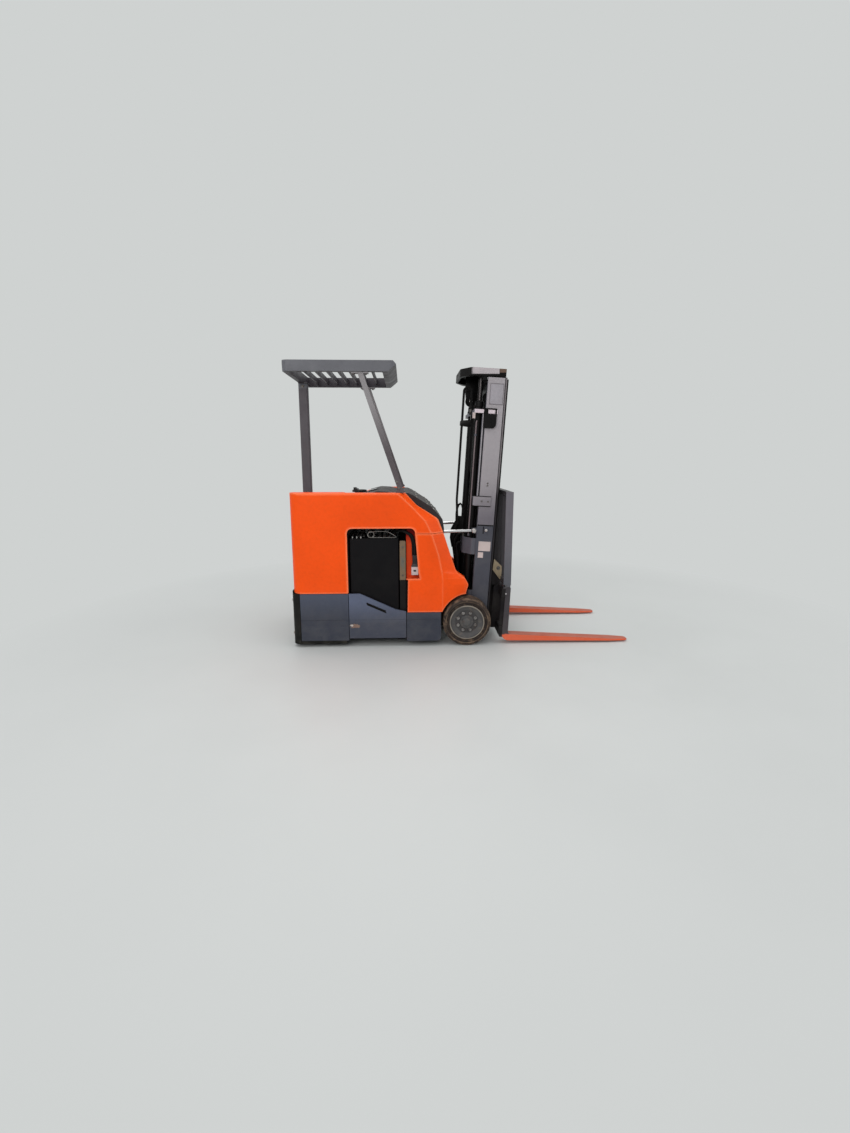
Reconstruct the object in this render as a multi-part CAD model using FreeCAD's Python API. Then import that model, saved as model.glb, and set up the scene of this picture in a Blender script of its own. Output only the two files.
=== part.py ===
import FreeCAD, Part
import math
import os

# A stand-up electric forklift: end-control, counterbalanced, two drive wheels in front, twin steered
# wheels under the left rear, a three-stage mast with full free lift. +X points to the fork tips, +Y to the
# truck's left, +Z up. The origin is on the floor under the middle of the truck. Lengths in millimetres.
# It stands as it is parked: forks down, mast resting on its forward tilt stop.

V = FreeCAD.Vector
os.makedirs("parts", exist_ok=True)

# Clearances: pieces that seat on each other, seams between panels, shafts in their bores
seat_gap = 0.3
panel_gap = 3.0
running_fit = 0.6
moving_gap = 6.0

# Drive wheels and their axle
tyre_radius = 206.4
tyre_width = 168.0
tyre_shoulder = 18.0
rim_radius = 149.0
axle_x = 25.0
axle_z = tyre_radius
trunnion_radius = 38.0
saddle_wall = 8.0
axle_bracket_y = 150.0
bracket_top_z = 256.0
motor_radius = 96.0
motor_behind_axle = 92.0
motor_half_length = 92.0
spindle_radius = 32.0
hub_disc_radius = 56.0
hub_recess_width = 38.0
wheel_bolt_circle = 80.0
wheel_bolt_count = 8
wheel_bolt_radius = 9.0

# Body
half_width = 525.0
body_rear_x = -1442.0
rear_corner_radius = 90.0
body_top = 1305.0
left_rear_top = 1195.0
slope_start_z = 1215.0
slope_knee_x = -835.0
slope_knee_z = 1281.0
slope_end_x = -730.0
skin = 28.0
right_wall_inside = half_width - 153.0
left_wall_inside = half_width - 375.0
compartment_front_x = -1000.0
skirt_bottom = 58.0
skirt_thickness = 22.0
skirt_front_x = -198.0
frame_half_width = half_width - skirt_thickness - seat_gap
frame_bottom = 70.0
frame_plate = 12.0
sill_thickness = 20.0
firewall_top = 892.0
deck_z = 770.0
orange_bottom_rear = 470.0
orange_bottom_front = 302.0
fender_seam_z = 972.0
seam_gap = 3.0
bevel_inset = 82.0
inner_wheel_face = half_width - tyre_width - 9.0
arch_radius = 232.0
arch_bevel = 5.0
top_edge_radius = 14.0
crease_depth = 1.6
crease_low = 174.0
crease_high = 240.0
skirt_corner_radius = 30.0

# Battery, its opening and its lift-out gate
opening_rear_x = -980.0
opening_front_x = -450.0
opening_top = 1020.0
opening_step_x = -385.0
opening_corner = 45.0
battery_rear_x = -962.0
battery_front_x = -553.0
battery_half_length = half_width - 37.0
battery_floor_z = 205.0
battery_top = 930.0
stop_plate_y = 200.0
stop_plate = 10.0
stop_plate_top = 1000.0
retainer_bar_depth = 50.0
retainer_bar_bottom = 575.0
retainer_bar_thickness = 18.0
gate_thickness = 20.0
gate_inset = 2.0
gate_gap = 5.0
gate_bottom = 76.0
gate_knee_x = -880.0
gate_slope_end_x = -584.0
gate_slope_end_z = 327.0
gate_front_x = -494.0
pocket_rear_x = -490.0
pocket_depth = 49.0
pocket_floor_z = 578.0
pocket_wall = 12.0

# Operator's place
floor_plate_z = 232.0
floor_plate = 12.0
mat_thickness = 14.0
bulkhead = 30.0
pad_thickness = 40.0
tiller_y = 60.0
tiller_x = -912.0
tiller_radius = 66.0
lever_x = -912.0
lever_y = -230.0
lead_radius = 13.0
bumper_rear_x = -1450.0
bumper_front_x = -1384.0
bumper_top = 488.0
bumper_bottom = 30.0
runner_inside = half_width - 36.0
runner_outside = half_width - 6.0
runner_top = 55.0
runner_web = 12.0
step_top = 214.0
tow_y = -110.0
tow_pin_radius = 16.0

# Hood and console
hood_half_width = half_width - 85.0
firewall_x = -196.0
tilt_notch_half = 36.0
tilt_notch_top = 1000.0
shelf_front_x = -842.0
console_peak_x = -730.0
console_top = 1314.0
shelf_z = 1266.0
hood_rear_x = -556.0
hood_front_x = -172.0
hood_bottom = 976.0
hood_rest_half = 250.0

# Overhead guard
guard_top = 2328.0
guard_rear_x = -1450.0
guard_front_x = -555.0
guard_half_width = half_width - 25.0
fascia_height = 84.0
guard_rim = 46.0
guard_corner = 50.0
guard_front_rim = 112.0
guard_front_rake = 72.0
guard_nose_drop = 28.0
guard_rear_draft = 6.0
slat_count = 7
slat_thickness = 12.0
slat_height = 46.0
rear_post_y = left_wall_inside + 42.0
rear_post_depth = 84.0
rear_post_width = 56.0
front_post_y = half_width - 53.0
front_post_width = 40.0
front_post_depth = 44.0
front_post_foot_x = -532.0
front_post_top_x = -838.0
post_flange = 14.0

# Steered twin wheels
steer_x = -1200.0
steer_y = half_width - 205.0
steer_radius = 133.0
steer_tread_width = 58.0
steer_wheel_gap = 44.0
steer_hub_radius = 72.0
steer_plate_z = 330.0
steer_shaft_radius = 30.0
steer_clear_radius = 162.0
steer_well = 178.0

# Mast, in its own upright frame: u forward and w up from the tilt axis on the drive axle
mast_lean_deg = 3.2
rail_depth = 140.0
rail_wall = 12.0
outer_rail_rear_u = 51.0
stage_step_u = 20.0
outer_rail_outside = inner_wheel_face - 8.0
outer_flange = 48.0
middle_rail_outside = outer_rail_outside - 18.0
middle_flange = 62.0
middle_web_outside = middle_rail_outside - 32.0
inner_rail_outside = middle_web_outside - 18.0
inner_flange = 68.0
inner_web_outside = inner_rail_outside - 26.0
rail_web = 10.0
rail_bottom_w = -146.0
outer_rail_top_w = 2030.0
stage_bottom_w = -140.0
inner_rail_top_w = outer_rail_top_w
outer_ties = ((140.0, 240.0), (560.0, 700.0))
top_tie_w = 1744.0
top_tie_height = 30.0
clamp_w = 984.0
clamp_height = 76.0
clamp_front_u = 150.0
clamp_plate = 8.0
hose_tube_radius = 9.0
hose_block_u = 36.0
hose_block_w = 1626.0
hose_block_length = 105.0
hose_radius = 9.0
hose_low_w = 146.0
hose_leave_w = 300.0
hose_bend = 60.0
arch_over_w = 800.0
arch_bend = 25.0
hose_arches = ((-204.0, -104.0, 610.0), (-180.0, -122.0, 650.0), (-156.0, -136.0, 680.0))
hose_risers = ((-130.0, -145.0, 690.0), (-104.0, -128.0, 670.0))
riser_u = -118.0
riser_step = 18.0
riser_foot_w = 810.0
riser_straight_w = 1010.0
riser_bend = 200.0
riser_loop = 32.0
riser_top_w = 1968.0
middle_ties = ((-138.0, -106.0), (1180.0, 1260.0))
inner_ties = ((-138.0, -106.0), (1100.0, 1160.0), (1940.0, inner_rail_top_w - 4.0))
tie_wall = 14.0
tie_bow_u = -58.0
middle_tie_half = middle_web_outside - 6.0
inner_tie_half = inner_web_outside - 10.0
cap_bottom_w = outer_rail_top_w + 6.0
cap_rear_u = -87.0
cap_bow_u = -168.0
cap_front_u = 198.0
cap_plate_front_u = 45.0
cap_inside_y = outer_rail_outside - 58.0
cap_turn_y = outer_rail_outside - 150.0
cap_thickness = 64.0
cap_plate = 16.0
cap_wall = 16.0
roller_radius = 57.0
roller_side_clearance = 1.5
roller_end_w = -80.0

# Lift cylinders behind the outer rails
lift_cyl_u = 6.0
lift_cyl_y = outer_rail_outside - 94.0
lift_cyl_radius = 34.0
lift_rod_radius = 21.0
lift_barrel_bottom_w = 64.0
lift_barrel_top_w = outer_rail_top_w - 195.0

# Free-lift cylinder between the inner rails
free_cyl_u = 150.0
free_cyl_radius = 46.0
free_rod_radius = 30.0
free_barrel_bottom_w = -104.0
free_barrel_top_w = 1000.0
sheave_radius = 48.0
sheave_width = 26.0
chain_y = 62.0
chain_width = 22.0
chain_lug_height = 30.0
chain_front_bottom_w = 300.0
chain_rear_bottom_w = 900.0
chain_thickness = 12.0

# Carriage, forks and load backrest
carriage_half_width = half_width - 40.0
bar_height = 76.0
bar_thickness = 32.0
carriage_height = 407.0
carriage_bottom_w = -106.0
gusset_rear_u = 242.0
gusset_y = 300.0
gusset_plate = 12.0
gusset_bevel = 30.0
roller_plate_y = inner_rail_outside - inner_flange - 2.0
roller_plate = 16.0
shank_thickness = 50.0
fork_width = 100.0
fork_length = 1067.0
fork_tip_thickness = 13.0
fork_heel_thickness = 58.0
fork_rear_u = 316.0
blade_above_carriage = 4.0
hook_rise = 16.0
fork_outside = carriage_half_width
backrest_top_z = 1312.0
backrest_plate = 12.0
backrest_depth = 62.0
backrest_bar = 12.0
backrest_bar_depth = 44.0
backrest_bar_count = 4

# Tilt cylinders
tilt_pin_x = 94.0
tilt_pin_z = 969.0
tilt_base_x = -372.0
tilt_base_z = 954.0
tilt_cyl_y = outer_rail_outside - 30.0
tilt_barrel_radius = 27.0
tilt_rod_radius = 14.0
tilt_barrel_start = 30.0
tilt_barrel_end = 206.0
tilt_bore_start = 56.0
tilt_rod_length = 295.0
tilt_eye_radius = 22.0
tilt_pin_radius = 11.0
tilt_pin_slack = 3.0

SIDES = (("right", -1), ("left", 1))
written = {}


# Shape helpers

def box(x0, x1, y0, y1, z0, z1):
    low = V(min(x0, x1), min(y0, y1), min(z0, z1))
    return Part.makeBox(abs(x1 - x0), abs(y1 - y0), abs(z1 - z0), low)


def rod_y(x, z, y0, y1, radius):
    return Part.makeCylinder(radius, abs(y1 - y0), V(x, min(y0, y1), z), V(0, 1, 0))


def rod_z(x, y, z0, z1, radius):
    return Part.makeCylinder(radius, z1 - z0, V(x, y, z0), V(0, 0, 1))


def fuse(shapes):
    whole = shapes[0]
    if len(shapes) > 1:
        whole = whole.fuse(shapes[1:])
    return whole.removeSplitter()


def rounded_edges(corners):
    """Straight runs joined by tangent arcs; each corner is (point, radius)."""
    count = len(corners)
    runs = []
    for i in range(count):
        here, radius = corners[i]
        back = corners[i - 1][0].sub(here)
        ahead = corners[(i + 1) % count][0].sub(here)
        if radius <= 0:
            runs.append((here, None, here))
            continue
        back.normalize()
        ahead.normalize()
        half = back.getAngle(ahead) / 2.0
        reach = radius / math.tan(half)
        middle = back.add(ahead)
        middle.normalize()
        start = here.add(V(back).multiply(reach))
        end = here.add(V(ahead).multiply(reach))
        top = here.add(V(middle).multiply(radius / math.sin(half) - radius))
        runs.append((start, top, end))
    edges = []
    for i in range(count):
        start, top, end = runs[i]
        if top is not None:
            edges.append(Part.Arc(start, top, end).toShape())
        following = runs[(i + 1) % count][0]
        if end.distanceToPoint(following) > 0.001:
            edges.append(Part.LineSegment(end, following).toShape())
    return edges


def wire_xz(outline, y):
    """Outline points are (x, z) or (x, z, radius)."""
    corners = [(V(p[0], y, p[1]), p[2] if len(p) > 2 else 0.0) for p in outline]
    return Part.Wire(Part.__sortEdges__(rounded_edges(corners)))


def plate_xz(outline, y0, y1):
    face = Part.Face(wire_xz(outline, min(y0, y1)))
    return face.extrude(V(0, abs(y1 - y0), 0))


def plate_xy(outline, z0, z1):
    corners = [(V(p[0], p[1], z0), p[2] if len(p) > 2 else 0.0) for p in outline]
    face = Part.Face(Part.Wire(Part.__sortEdges__(rounded_edges(corners))))
    return face.extrude(V(0, 0, z1 - z0))


def mirror_y(shape):
    return shape.mirror(V(0, 0, 0), V(0, 1, 0))


def on_side(shape_left, side):
    """Shapes are made on the left (+Y) side and mirrored for the right."""
    return shape_left if side > 0 else mirror_y(shape_left)


def revolve_y(profile, x, z):
    """Profile points are (radius, y) or (radius, y, corner radius), spun round the Y axis through (x, z)."""
    corners = [(V(x + p[0], p[1], z), p[2] if len(p) > 2 else 0.0) for p in profile]
    face = Part.Face(Part.Wire(Part.__sortEdges__(rounded_edges(corners))))
    return face.revolve(V(x, 0, z), V(0, 1, 0), 360)


def pipe(points, bends, radius):
    """A round tube or hose: straight runs joined by arcs."""
    corners = [V(*p) for p in points]
    edges = []
    start = corners[0]
    for i in range(1, len(corners) - 1):
        here = corners[i]
        back = corners[i - 1].sub(here)
        ahead = corners[i + 1].sub(here)
        back.normalize()
        ahead.normalize()
        half = back.getAngle(ahead) / 2.0
        reach = bends[i - 1] / math.tan(half)
        middle = back.add(ahead)
        middle.normalize()
        enter = here.add(V(back).multiply(reach))
        leave = here.add(V(ahead).multiply(reach))
        top = here.add(V(middle).multiply(bends[i - 1] / math.sin(half) - bends[i - 1]))
        edges.append(Part.LineSegment(start, enter).toShape())
        edges.append(Part.Arc(enter, top, leave).toShape())
        start = leave
    edges.append(Part.LineSegment(start, corners[-1]).toShape())
    path = Part.Wire(edges)
    heading = corners[1].sub(corners[0])
    section = Part.Wire([Part.Circle(corners[0], heading, radius).toShape()])
    return path.makePipeShell([section], True, False)


def shoulder(radius, y, inwards):
    """A tyre's worn shoulder as two bevels, for revolve_y: inwards is 1 where the tyre lies to +Y of this face."""
    points = [(radius - tyre_shoulder, y), (radius - tyre_shoulder * 0.3, y + inwards * tyre_shoulder * 0.35),
              (radius, y + inwards * tyre_shoulder)]
    return points if inwards > 0 else points[::-1]


def lean(shape):
    """Turns a piece of the mast from its own upright frame into the truck's frame."""
    placed = shape.copy()
    placed.translate(V(axle_x, 0, axle_z))
    placed.rotate(V(axle_x, 0, axle_z), V(0, 1, 0), mast_lean_deg)
    return placed


def mast_coordinates(x, z):
    angle = math.radians(mast_lean_deg)
    u = (x - axle_x) * math.cos(angle) - (z - axle_z) * math.sin(angle)
    w = (x - axle_x) * math.sin(angle) + (z - axle_z) * math.cos(angle)
    return u, w


def save(name, shapes):
    whole = shapes if not isinstance(shapes, list) else Part.makeCompound(shapes)
    if whole.ShapeType == "Compound" and len(whole.Solids) == 1:
        whole = whole.Solids[0]
    whole.exportStep("parts/" + name + ".step")
    written[name] = whole


# Body outlines: the silhouette near the hood and the side face behind its bevelled front edge.
# Each row is the corner's x and z on the silhouette, then on the side face, and its radius.

front_corners = [
    (-497, body_top, -560, body_top, 30),
    (-401, 1202, -448, 1200, 60),
    (-222, 1088, -330, 1074, 50),
    (-178, 973, -281, 973, 120),
    (-118, 790, -221, 790, 200),
    (-62, 628, -192, 650, 70),
    (10, 578, -186, 590, 40),
    (42, 520, -185, 540, 40),
    (22, 452, -185, 452, 0),
]


def side_outline(column, inset):
    """Closed outline of one section of the body side; column 0 is the silhouette, 2 the side face."""
    rear = compartment_front_x - 40
    low = orange_bottom_front - 40
    outline = [(rear, low), (rear, body_top - inset)]
    for corner in front_corners:
        outline.append((corner[column] - inset, min(corner[column + 1], body_top - inset), corner[4]))
    outline.append((front_corners[-1][column] - inset, low))
    return outline


def body_side(inset):
    """The left side of the body forward of the operator's place, as a closed block moved in by inset."""
    inner_y = inner_wheel_face + inset
    crease_y = half_width - bevel_inset
    core = plate_xz(side_outline(0, inset), inner_y, crease_y)
    sections = [wire_xz(side_outline(0, inset), crease_y),
                wire_xz(side_outline(2, inset), half_width - inset)]
    return core.fuse(Part.makeLoft(sections, True, True))


hollow = body_side(skin)
hollow = hollow.fuse(plate_xz(side_outline(0, skin), inner_wheel_face - 20, inner_wheel_face + skin + 1))
hollow = hollow.fuse(box(compartment_front_x - 60, compartment_front_x + 20, 0, half_width - skin, 0,
                         body_top - skin))
side_shell = body_side(0.0).cut(hollow)

opening_outline = [(opening_rear_x, 0), (opening_rear_x, opening_top, opening_corner),
                   (opening_step_x - 25, opening_top, opening_corner), (opening_step_x, 640),
                   (opening_step_x + 14, 590), (opening_front_x - 26, 588), (opening_front_x - 38, 0)]
beyond = half_width + 100
opening_cut = plate_xz(opening_outline, half_width - skin - 80, half_width + 5)
skirt_line = [(-2000, -10), (-2000, orange_bottom_rear), (gate_knee_x, orange_bottom_rear),
              (gate_slope_end_x, gate_slope_end_z + gate_gap), (gate_front_x, orange_bottom_front),
              (500, orange_bottom_front), (500, -10)]
below_orange = plate_xz(skirt_line, 0, beyond)
wheel_arch = rod_y(axle_x, axle_z, inner_wheel_face - 10, beyond, arch_radius)
wheel_arch = wheel_arch.fuse(Part.makeCone(arch_radius, arch_radius + arch_bevel + 1, arch_bevel + 1,
                                           V(axle_x, half_width - arch_bevel, axle_z), V(0, 1, 0)))
edge_y = half_width - top_edge_radius
edge_z = body_top - top_edge_radius
edge_round = box(body_rear_x - 10, 0, edge_y, half_width + 1, edge_z, body_top + 1)
edge_round = edge_round.cut(Part.makeCylinder(top_edge_radius, 2000, V(body_rear_x - 20, edge_y, edge_z),
                                              V(1, 0, 0)))


def largest(shape):
    return max(shape.Solids, key=lambda solid: solid.Volume)


# Side panels with the rear column, and the fenders below the seam with the pocket for the battery's plug

pocket_back_y = half_width - skin - pocket_depth
pocket_front_x = opening_step_x + 2
pocket_top = fender_seam_z - seam_gap - 3
pocket = [box(pocket_rear_x, pocket_front_x + pocket_wall, pocket_back_y, pocket_back_y + pocket_wall,
              pocket_floor_z, pocket_top),
          box(pocket_front_x, pocket_front_x + pocket_wall, pocket_back_y, half_width - skin + 1,
              pocket_floor_z, pocket_top),
          box(pocket_rear_x, pocket_front_x + pocket_wall, pocket_back_y, half_width - skin + 1,
              pocket_floor_z - 1,
              pocket_floor_z + pocket_wall - 2)]

for name, side in SIDES:
    wall_inside = right_wall_inside if side < 0 else left_wall_inside
    column_top = body_top if side < 0 else left_rear_top
    column = plate_xy([(body_rear_x, wall_inside, 30), (body_rear_x, half_width, rear_corner_radius),
                       (compartment_front_x, half_width), (compartment_front_x, wall_inside)],
                      orange_bottom_rear, column_top)
    front_shell = side_shell.common(box(compartment_front_x, 100, 0, beyond, 0, 2000)).cut(opening_cut)
    front_shell = front_shell.cut(below_orange)
    upper = front_shell.cut(box(opening_step_x - 60, 200, 0, beyond, -10, fender_seam_z))
    upper = upper.cut(box(-2000, 200, 0, hood_half_width + panel_gap, 0, 2000))
    lower = front_shell.common(box(opening_front_x - 60, 200, 0, beyond, -10, fender_seam_z - seam_gap))
    lower = lower.cut(wheel_arch)
    upper = largest(upper)
    if side > 0:
        slope = [(compartment_front_x, slope_start_z), (slope_knee_x, slope_knee_z), (slope_end_x, body_top)]
        above = slope + [(slope_end_x, body_top + 50), (compartment_front_x, body_top + 50)]
        cap_strip = slope + [(x, z - skin) for x, z in reversed(slope)]
        cap_strip = plate_xz(cap_strip, hood_half_width + panel_gap, half_width)
        upper = upper.cut(plate_xz(above, 0, beyond)).fuse(cap_strip)
    panel = column.fuse(upper).removeSplitter().cut(edge_round)
    save("side_panel_" + name, on_side(panel, side))
    fender = fuse([largest(lower)] + pocket)
    save("fender_" + name, on_side(fender, side))

# Lower skirts and the lift-out battery gates between them

rear_skirt = plate_xy([(bumper_front_x + panel_gap, half_width - skirt_thickness),
                       (bumper_front_x + panel_gap, half_width),
                       (opening_rear_x, half_width), (opening_rear_x, half_width - skirt_thickness)],
                      skirt_bottom, orange_bottom_rear - panel_gap)
front_skirt = plate_xz([(gate_front_x + gate_gap, orange_bottom_front - panel_gap),
                        (skirt_front_x, orange_bottom_front - panel_gap),
                        (skirt_front_x, skirt_bottom - 10, skirt_corner_radius),
                        (gate_front_x + gate_gap, skirt_bottom - 10)],
                       half_width - skirt_thickness, half_width)
skirt_crease = box(bumper_front_x, 0, half_width - crease_depth, half_width + 1, crease_low, crease_high)
rear_skirt = rear_skirt.cut(skirt_crease)
front_skirt = front_skirt.cut(skirt_crease)
gate_rear_x = opening_rear_x + gate_gap
gate_outline = [(gate_rear_x, gate_bottom), (gate_rear_x, orange_bottom_rear - gate_gap),
                (gate_knee_x, orange_bottom_rear - gate_gap, 40), (gate_slope_end_x, gate_slope_end_z, 60),
                (gate_front_x, orange_bottom_front + 6), (gate_front_x, gate_bottom)]
gate = plate_xz(gate_outline, half_width - gate_inset - gate_thickness, half_width - gate_inset)
hand_slot = plate_xz([(-828, 388, 6), (-668, 316, 6), (-660, 298, 6), (-820, 370, 6)], half_width - 100,
                     half_width + 100)
gate = gate.cut(hand_slot).cut(skirt_crease.translated(V(0, -gate_inset, 0)))
save("rear_skirts", [on_side(rear_skirt, -1), on_side(rear_skirt, 1)])
save("front_skirts", [on_side(front_skirt, -1), on_side(front_skirt, 1)])
for name, side in SIDES:
    save("battery_gate_" + name, on_side(gate, side))

# Chassis weldment: floor pan, sills, battery well, bulkheads, firewall and axle brackets

pan = box(bumper_front_x, firewall_x, -frame_half_width, frame_half_width, frame_bottom,
          frame_bottom + frame_plate)
pan = pan.cut(rod_z(steer_x, steer_y, 0, 200, steer_clear_radius))
sill = box(bumper_front_x, skirt_front_x, frame_half_width - sill_thickness, frame_half_width,
           frame_bottom + frame_plate - 1,
           battery_floor_z - frame_plate)
wall_half = half_width - skin - seat_gap
battery_floor = box(compartment_front_x + bulkhead - 1, opening_front_x + 23, -wall_half, wall_half,
                    battery_floor_z - frame_plate, battery_floor_z)
rear_bulkhead = box(compartment_front_x + seat_gap, compartment_front_x + bulkhead, -wall_half, wall_half,
                    frame_bottom + frame_plate - 1, opening_top - seat_gap)
front_bulkhead = box(opening_front_x + 22, opening_front_x + 40, -wall_half, wall_half,
                     frame_bottom + frame_plate - 1,
                     fender_seam_z - seam_gap)
pocket_room = box(opening_front_x, opening_front_x + 60, pocket_back_y - seat_gap, beyond,
                  pocket_floor_z - 2, pocket_top + 100)
front_bulkhead = front_bulkhead.cut(pocket_room).cut(mirror_y(pocket_room))
bar_x = battery_front_x + 8
post_y = battery_half_length - 20
retainer_post = fuse([box(bar_x, bar_x + retainer_bar_depth, post_y, post_y + retainer_bar_thickness,
                          battery_floor_z - 1,
                          retainer_bar_bottom - seat_gap),
                      box(bar_x, opening_front_x + 23, post_y - 40, post_y + 1, battery_floor_z - 1,
                          pocket_floor_z - 20)])
firewall_half = inner_wheel_face - seat_gap
firewall = box(firewall_x - 16, firewall_x, -firewall_half, firewall_half, frame_bottom + frame_plate - 1,
               firewall_top)
deck = box(opening_front_x + 39, firewall_x - 15, -firewall_half, firewall_half, deck_z, deck_z + 14)
firewall_upper = box(firewall_x - 16, firewall_x, -hood_rest_half, hood_rest_half, firewall_top - 1,
                     hood_bottom - seat_gap)
hood_rest = box(firewall_x - 1, hood_front_x - 2, -hood_rest_half, hood_rest_half, hood_bottom - 12,
                hood_bottom - seat_gap)
battery_stop = box(battery_front_x + seat_gap, opening_front_x + 23, stop_plate_y, stop_plate_y + stop_plate,
                   battery_floor_z - 1, stop_plate_top)
weldment = [battery_stop, mirror_y(battery_stop), pan, sill, mirror_y(sill), battery_floor, rear_bulkhead,
            front_bulkhead, firewall, deck,
            firewall_upper,
            hood_rest, retainer_post, mirror_y(retainer_post)]
lining = box(bumper_front_x, compartment_front_x + 1, frame_half_width - 14, frame_half_width,
             frame_bottom + frame_plate - 1,
             orange_bottom_rear - seat_gap)
lining = lining.common(box(-2000, 0, 0, half_width - 1, 0, 2000))
weldment += [lining, mirror_y(lining)]
weldment.append(box(bumper_front_x, compartment_front_x + 1, -right_wall_inside - 10, -right_wall_inside,
                    frame_bottom + frame_plate - 1, orange_bottom_rear - seat_gap))
weldment.append(box(bumper_front_x, compartment_front_x + 1, left_wall_inside, left_wall_inside + 10,
                    frame_bottom + frame_plate - 1, orange_bottom_rear - seat_gap))
saddle_front_x = axle_x + trunnion_radius + saddle_wall
for bracket_y in (-axle_bracket_y, axle_bracket_y):
    outline = [(firewall_x - 4, frame_bottom), (firewall_x - 4, 440), (firewall_x + 14, 440),
               (firewall_x + 60, 290, 40),
               (saddle_front_x, bracket_top_z, 30), (saddle_front_x, axle_z - 50, 30),
               (firewall_x + 60, frame_bottom, 30)]
    weldment.append(plate_xz(outline, bracket_y - 14, bracket_y + 14))
steer_leg = box(steer_x - steer_well, steer_x - steer_well + 14, steer_y - 120, steer_y + 120,
                frame_bottom + frame_plate,
                steer_plate_z + 20)
steer_leg_front = box(steer_x + steer_well - 14, steer_x + steer_well, steer_y - 120, steer_y + 120,
                      frame_bottom + frame_plate, steer_plate_z + 20)
housing_top = box(steer_x - steer_well, steer_x + steer_well, steer_y - 120, steer_y + 120, steer_plate_z,
                  steer_plate_z + 20)
weldment += [steer_leg, steer_leg_front, housing_top]
frame_body = fuse(weldment)
axle_bore = rod_y(axle_x, axle_z, -half_width, half_width, trunnion_radius)
frame_body = frame_body.cut(axle_bore).cut(rod_z(steer_x, steer_y, 100, 500,
                                                 steer_shaft_radius + running_fit))
save("chassis_frame", largest(frame_body))

# Operator's place: step floor with a rubber mat, padded back rest

floor = box(bumper_front_x + seat_gap, compartment_front_x, -right_wall_inside + seat_gap,
            left_wall_inside - seat_gap,
            floor_plate_z - floor_plate, floor_plate_z)
legs = [box(x, x + 12, -right_wall_inside + 20, left_wall_inside - 20, frame_bottom + frame_plate,
            floor_plate_z - floor_plate + 1) for x in (bumper_front_x + seat_gap, compartment_front_x - 12)]
save("step_floor", fuse([floor] + legs))
mat = plate_xy([(bumper_front_x + 14, -right_wall_inside + 14, 20),
                (bumper_front_x + 14, left_wall_inside - 14, 20),
                (compartment_front_x - 12, left_wall_inside - 14, 20),
                (compartment_front_x - 12, -right_wall_inside + 14, 20)],
               floor_plate_z + seat_gap, floor_plate_z + seat_gap + mat_thickness)
save("floor_mat", mat)
pad = box(compartment_front_x - pad_thickness, compartment_front_x, -right_wall_inside + 60,
          left_wall_inside - 60, 700, 1010)
pad = pad.makeFillet(18, [e for e in pad.Edges if e.BoundBox.XMin < compartment_front_x - pad_thickness + 1
                          and e.BoundBox.XMax < compartment_front_x - pad_thickness + 1])
save("knee_pad", pad)

# Rear bumper, taller at the sides than across the low step

bumper = plate_xy([(bumper_rear_x, -half_width, 60), (bumper_rear_x, half_width, 60),
                   (bumper_front_x, half_width),
                   (bumper_front_x, -half_width)], bumper_bottom, bumper_top)
entry = box(bumper_rear_x - 10, bumper_front_x + 10, -right_wall_inside, left_wall_inside, step_top, 800)
bumper = bumper.cut(entry)
under = box(body_rear_x, bumper_front_x + 10, -half_width, half_width, orange_bottom_rear - panel_gap, 800)
bumper = bumper.cut(under)
tow_pocket = box(bumper_rear_x - 1, bumper_rear_x + 44, tow_y - 45, tow_y + 45, 90, 150)
tow_hole = rod_z(bumper_rear_x + 22, tow_y, 0, 300, tow_pin_radius)
runner = fuse([box(bumper_front_x - 10, compartment_front_x, runner_inside, runner_outside, bumper_bottom,
                   runner_top),
               box(bumper_front_x - 10, compartment_front_x, runner_inside, runner_inside + runner_web,
                   bumper_bottom,
                   frame_bottom - seat_gap)])
bumper = fuse([bumper.cut(tow_pocket).cut(tow_hole), runner, mirror_y(runner)])
save("rear_bumper", bumper)

# Hood over the drive motors, and the console ahead of the operator

hood_outside = [(hood_rear_x, 1040), (hood_rear_x, 1296, 20), (-470, 1300, 40), (-433, 1284, 40),
                (-279, 1186, 60),
                (-184, 1082, 40), (hood_front_x, 1006), (hood_front_x, hood_bottom)]
hood_inside = [(-196, hood_bottom), (-196, 1004), (-206, 1072, 30), (-294, 1168, 40), (-440, 1262, 30),
               (-470, 1276, 30), (-532, 1272), (-532, 1040)]
hood = plate_xz(hood_outside + hood_inside, -hood_half_width, hood_half_width)
for side in (-1, 1):
    middle_y = side * tilt_cyl_y
    hood = hood.cut(box(firewall_x - 20, firewall_x + 60, middle_y - tilt_notch_half,
                        middle_y + tilt_notch_half, 900,
                        tilt_notch_top))
save("hood", hood)
console_outline = [(compartment_front_x, opening_top), (compartment_front_x, shelf_z - 46, 20),
                   (compartment_front_x + 26, shelf_z, 14), (shelf_front_x, shelf_z),
                   (shelf_front_x + 12, console_top - 26, 10),
                   (console_peak_x, console_top, 40), (console_peak_x + 90, console_top - 4, 30),
                   (hood_rear_x - seat_gap, console_top - 22, 10), (hood_rear_x - seat_gap, opening_top)]
console = plate_xz(console_outline, -hood_half_width, hood_half_width)
save("console", console)

# Hand controls on the console

tiller_foot = rod_z(tiller_x, tiller_y, shelf_z + seat_gap, shelf_z + 16, 34)
tiller_disc = rod_z(tiller_x, tiller_y, shelf_z + 15, shelf_z + 29, tiller_radius)
tiller_knob = rod_z(tiller_x - tiller_radius * 0.6, tiller_y, shelf_z + 28, shelf_z + 56, 15)
save("steering_tiller", fuse([tiller_foot, tiller_disc, tiller_knob]))
lever_foot = rod_z(lever_x, lever_y, shelf_z + seat_gap, shelf_z + 14, 26)
lever_stem = rod_z(lever_x, lever_y, shelf_z + 13, shelf_z + 46, 12)
lever_grip = rod_y(lever_x, shelf_z + 46, lever_y - 55, lever_y + 55, 17)
save("control_handle", fuse([lever_foot, lever_stem, lever_grip]))

# Battery in its well, the retainer bar, and the lead with its plug

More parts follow.
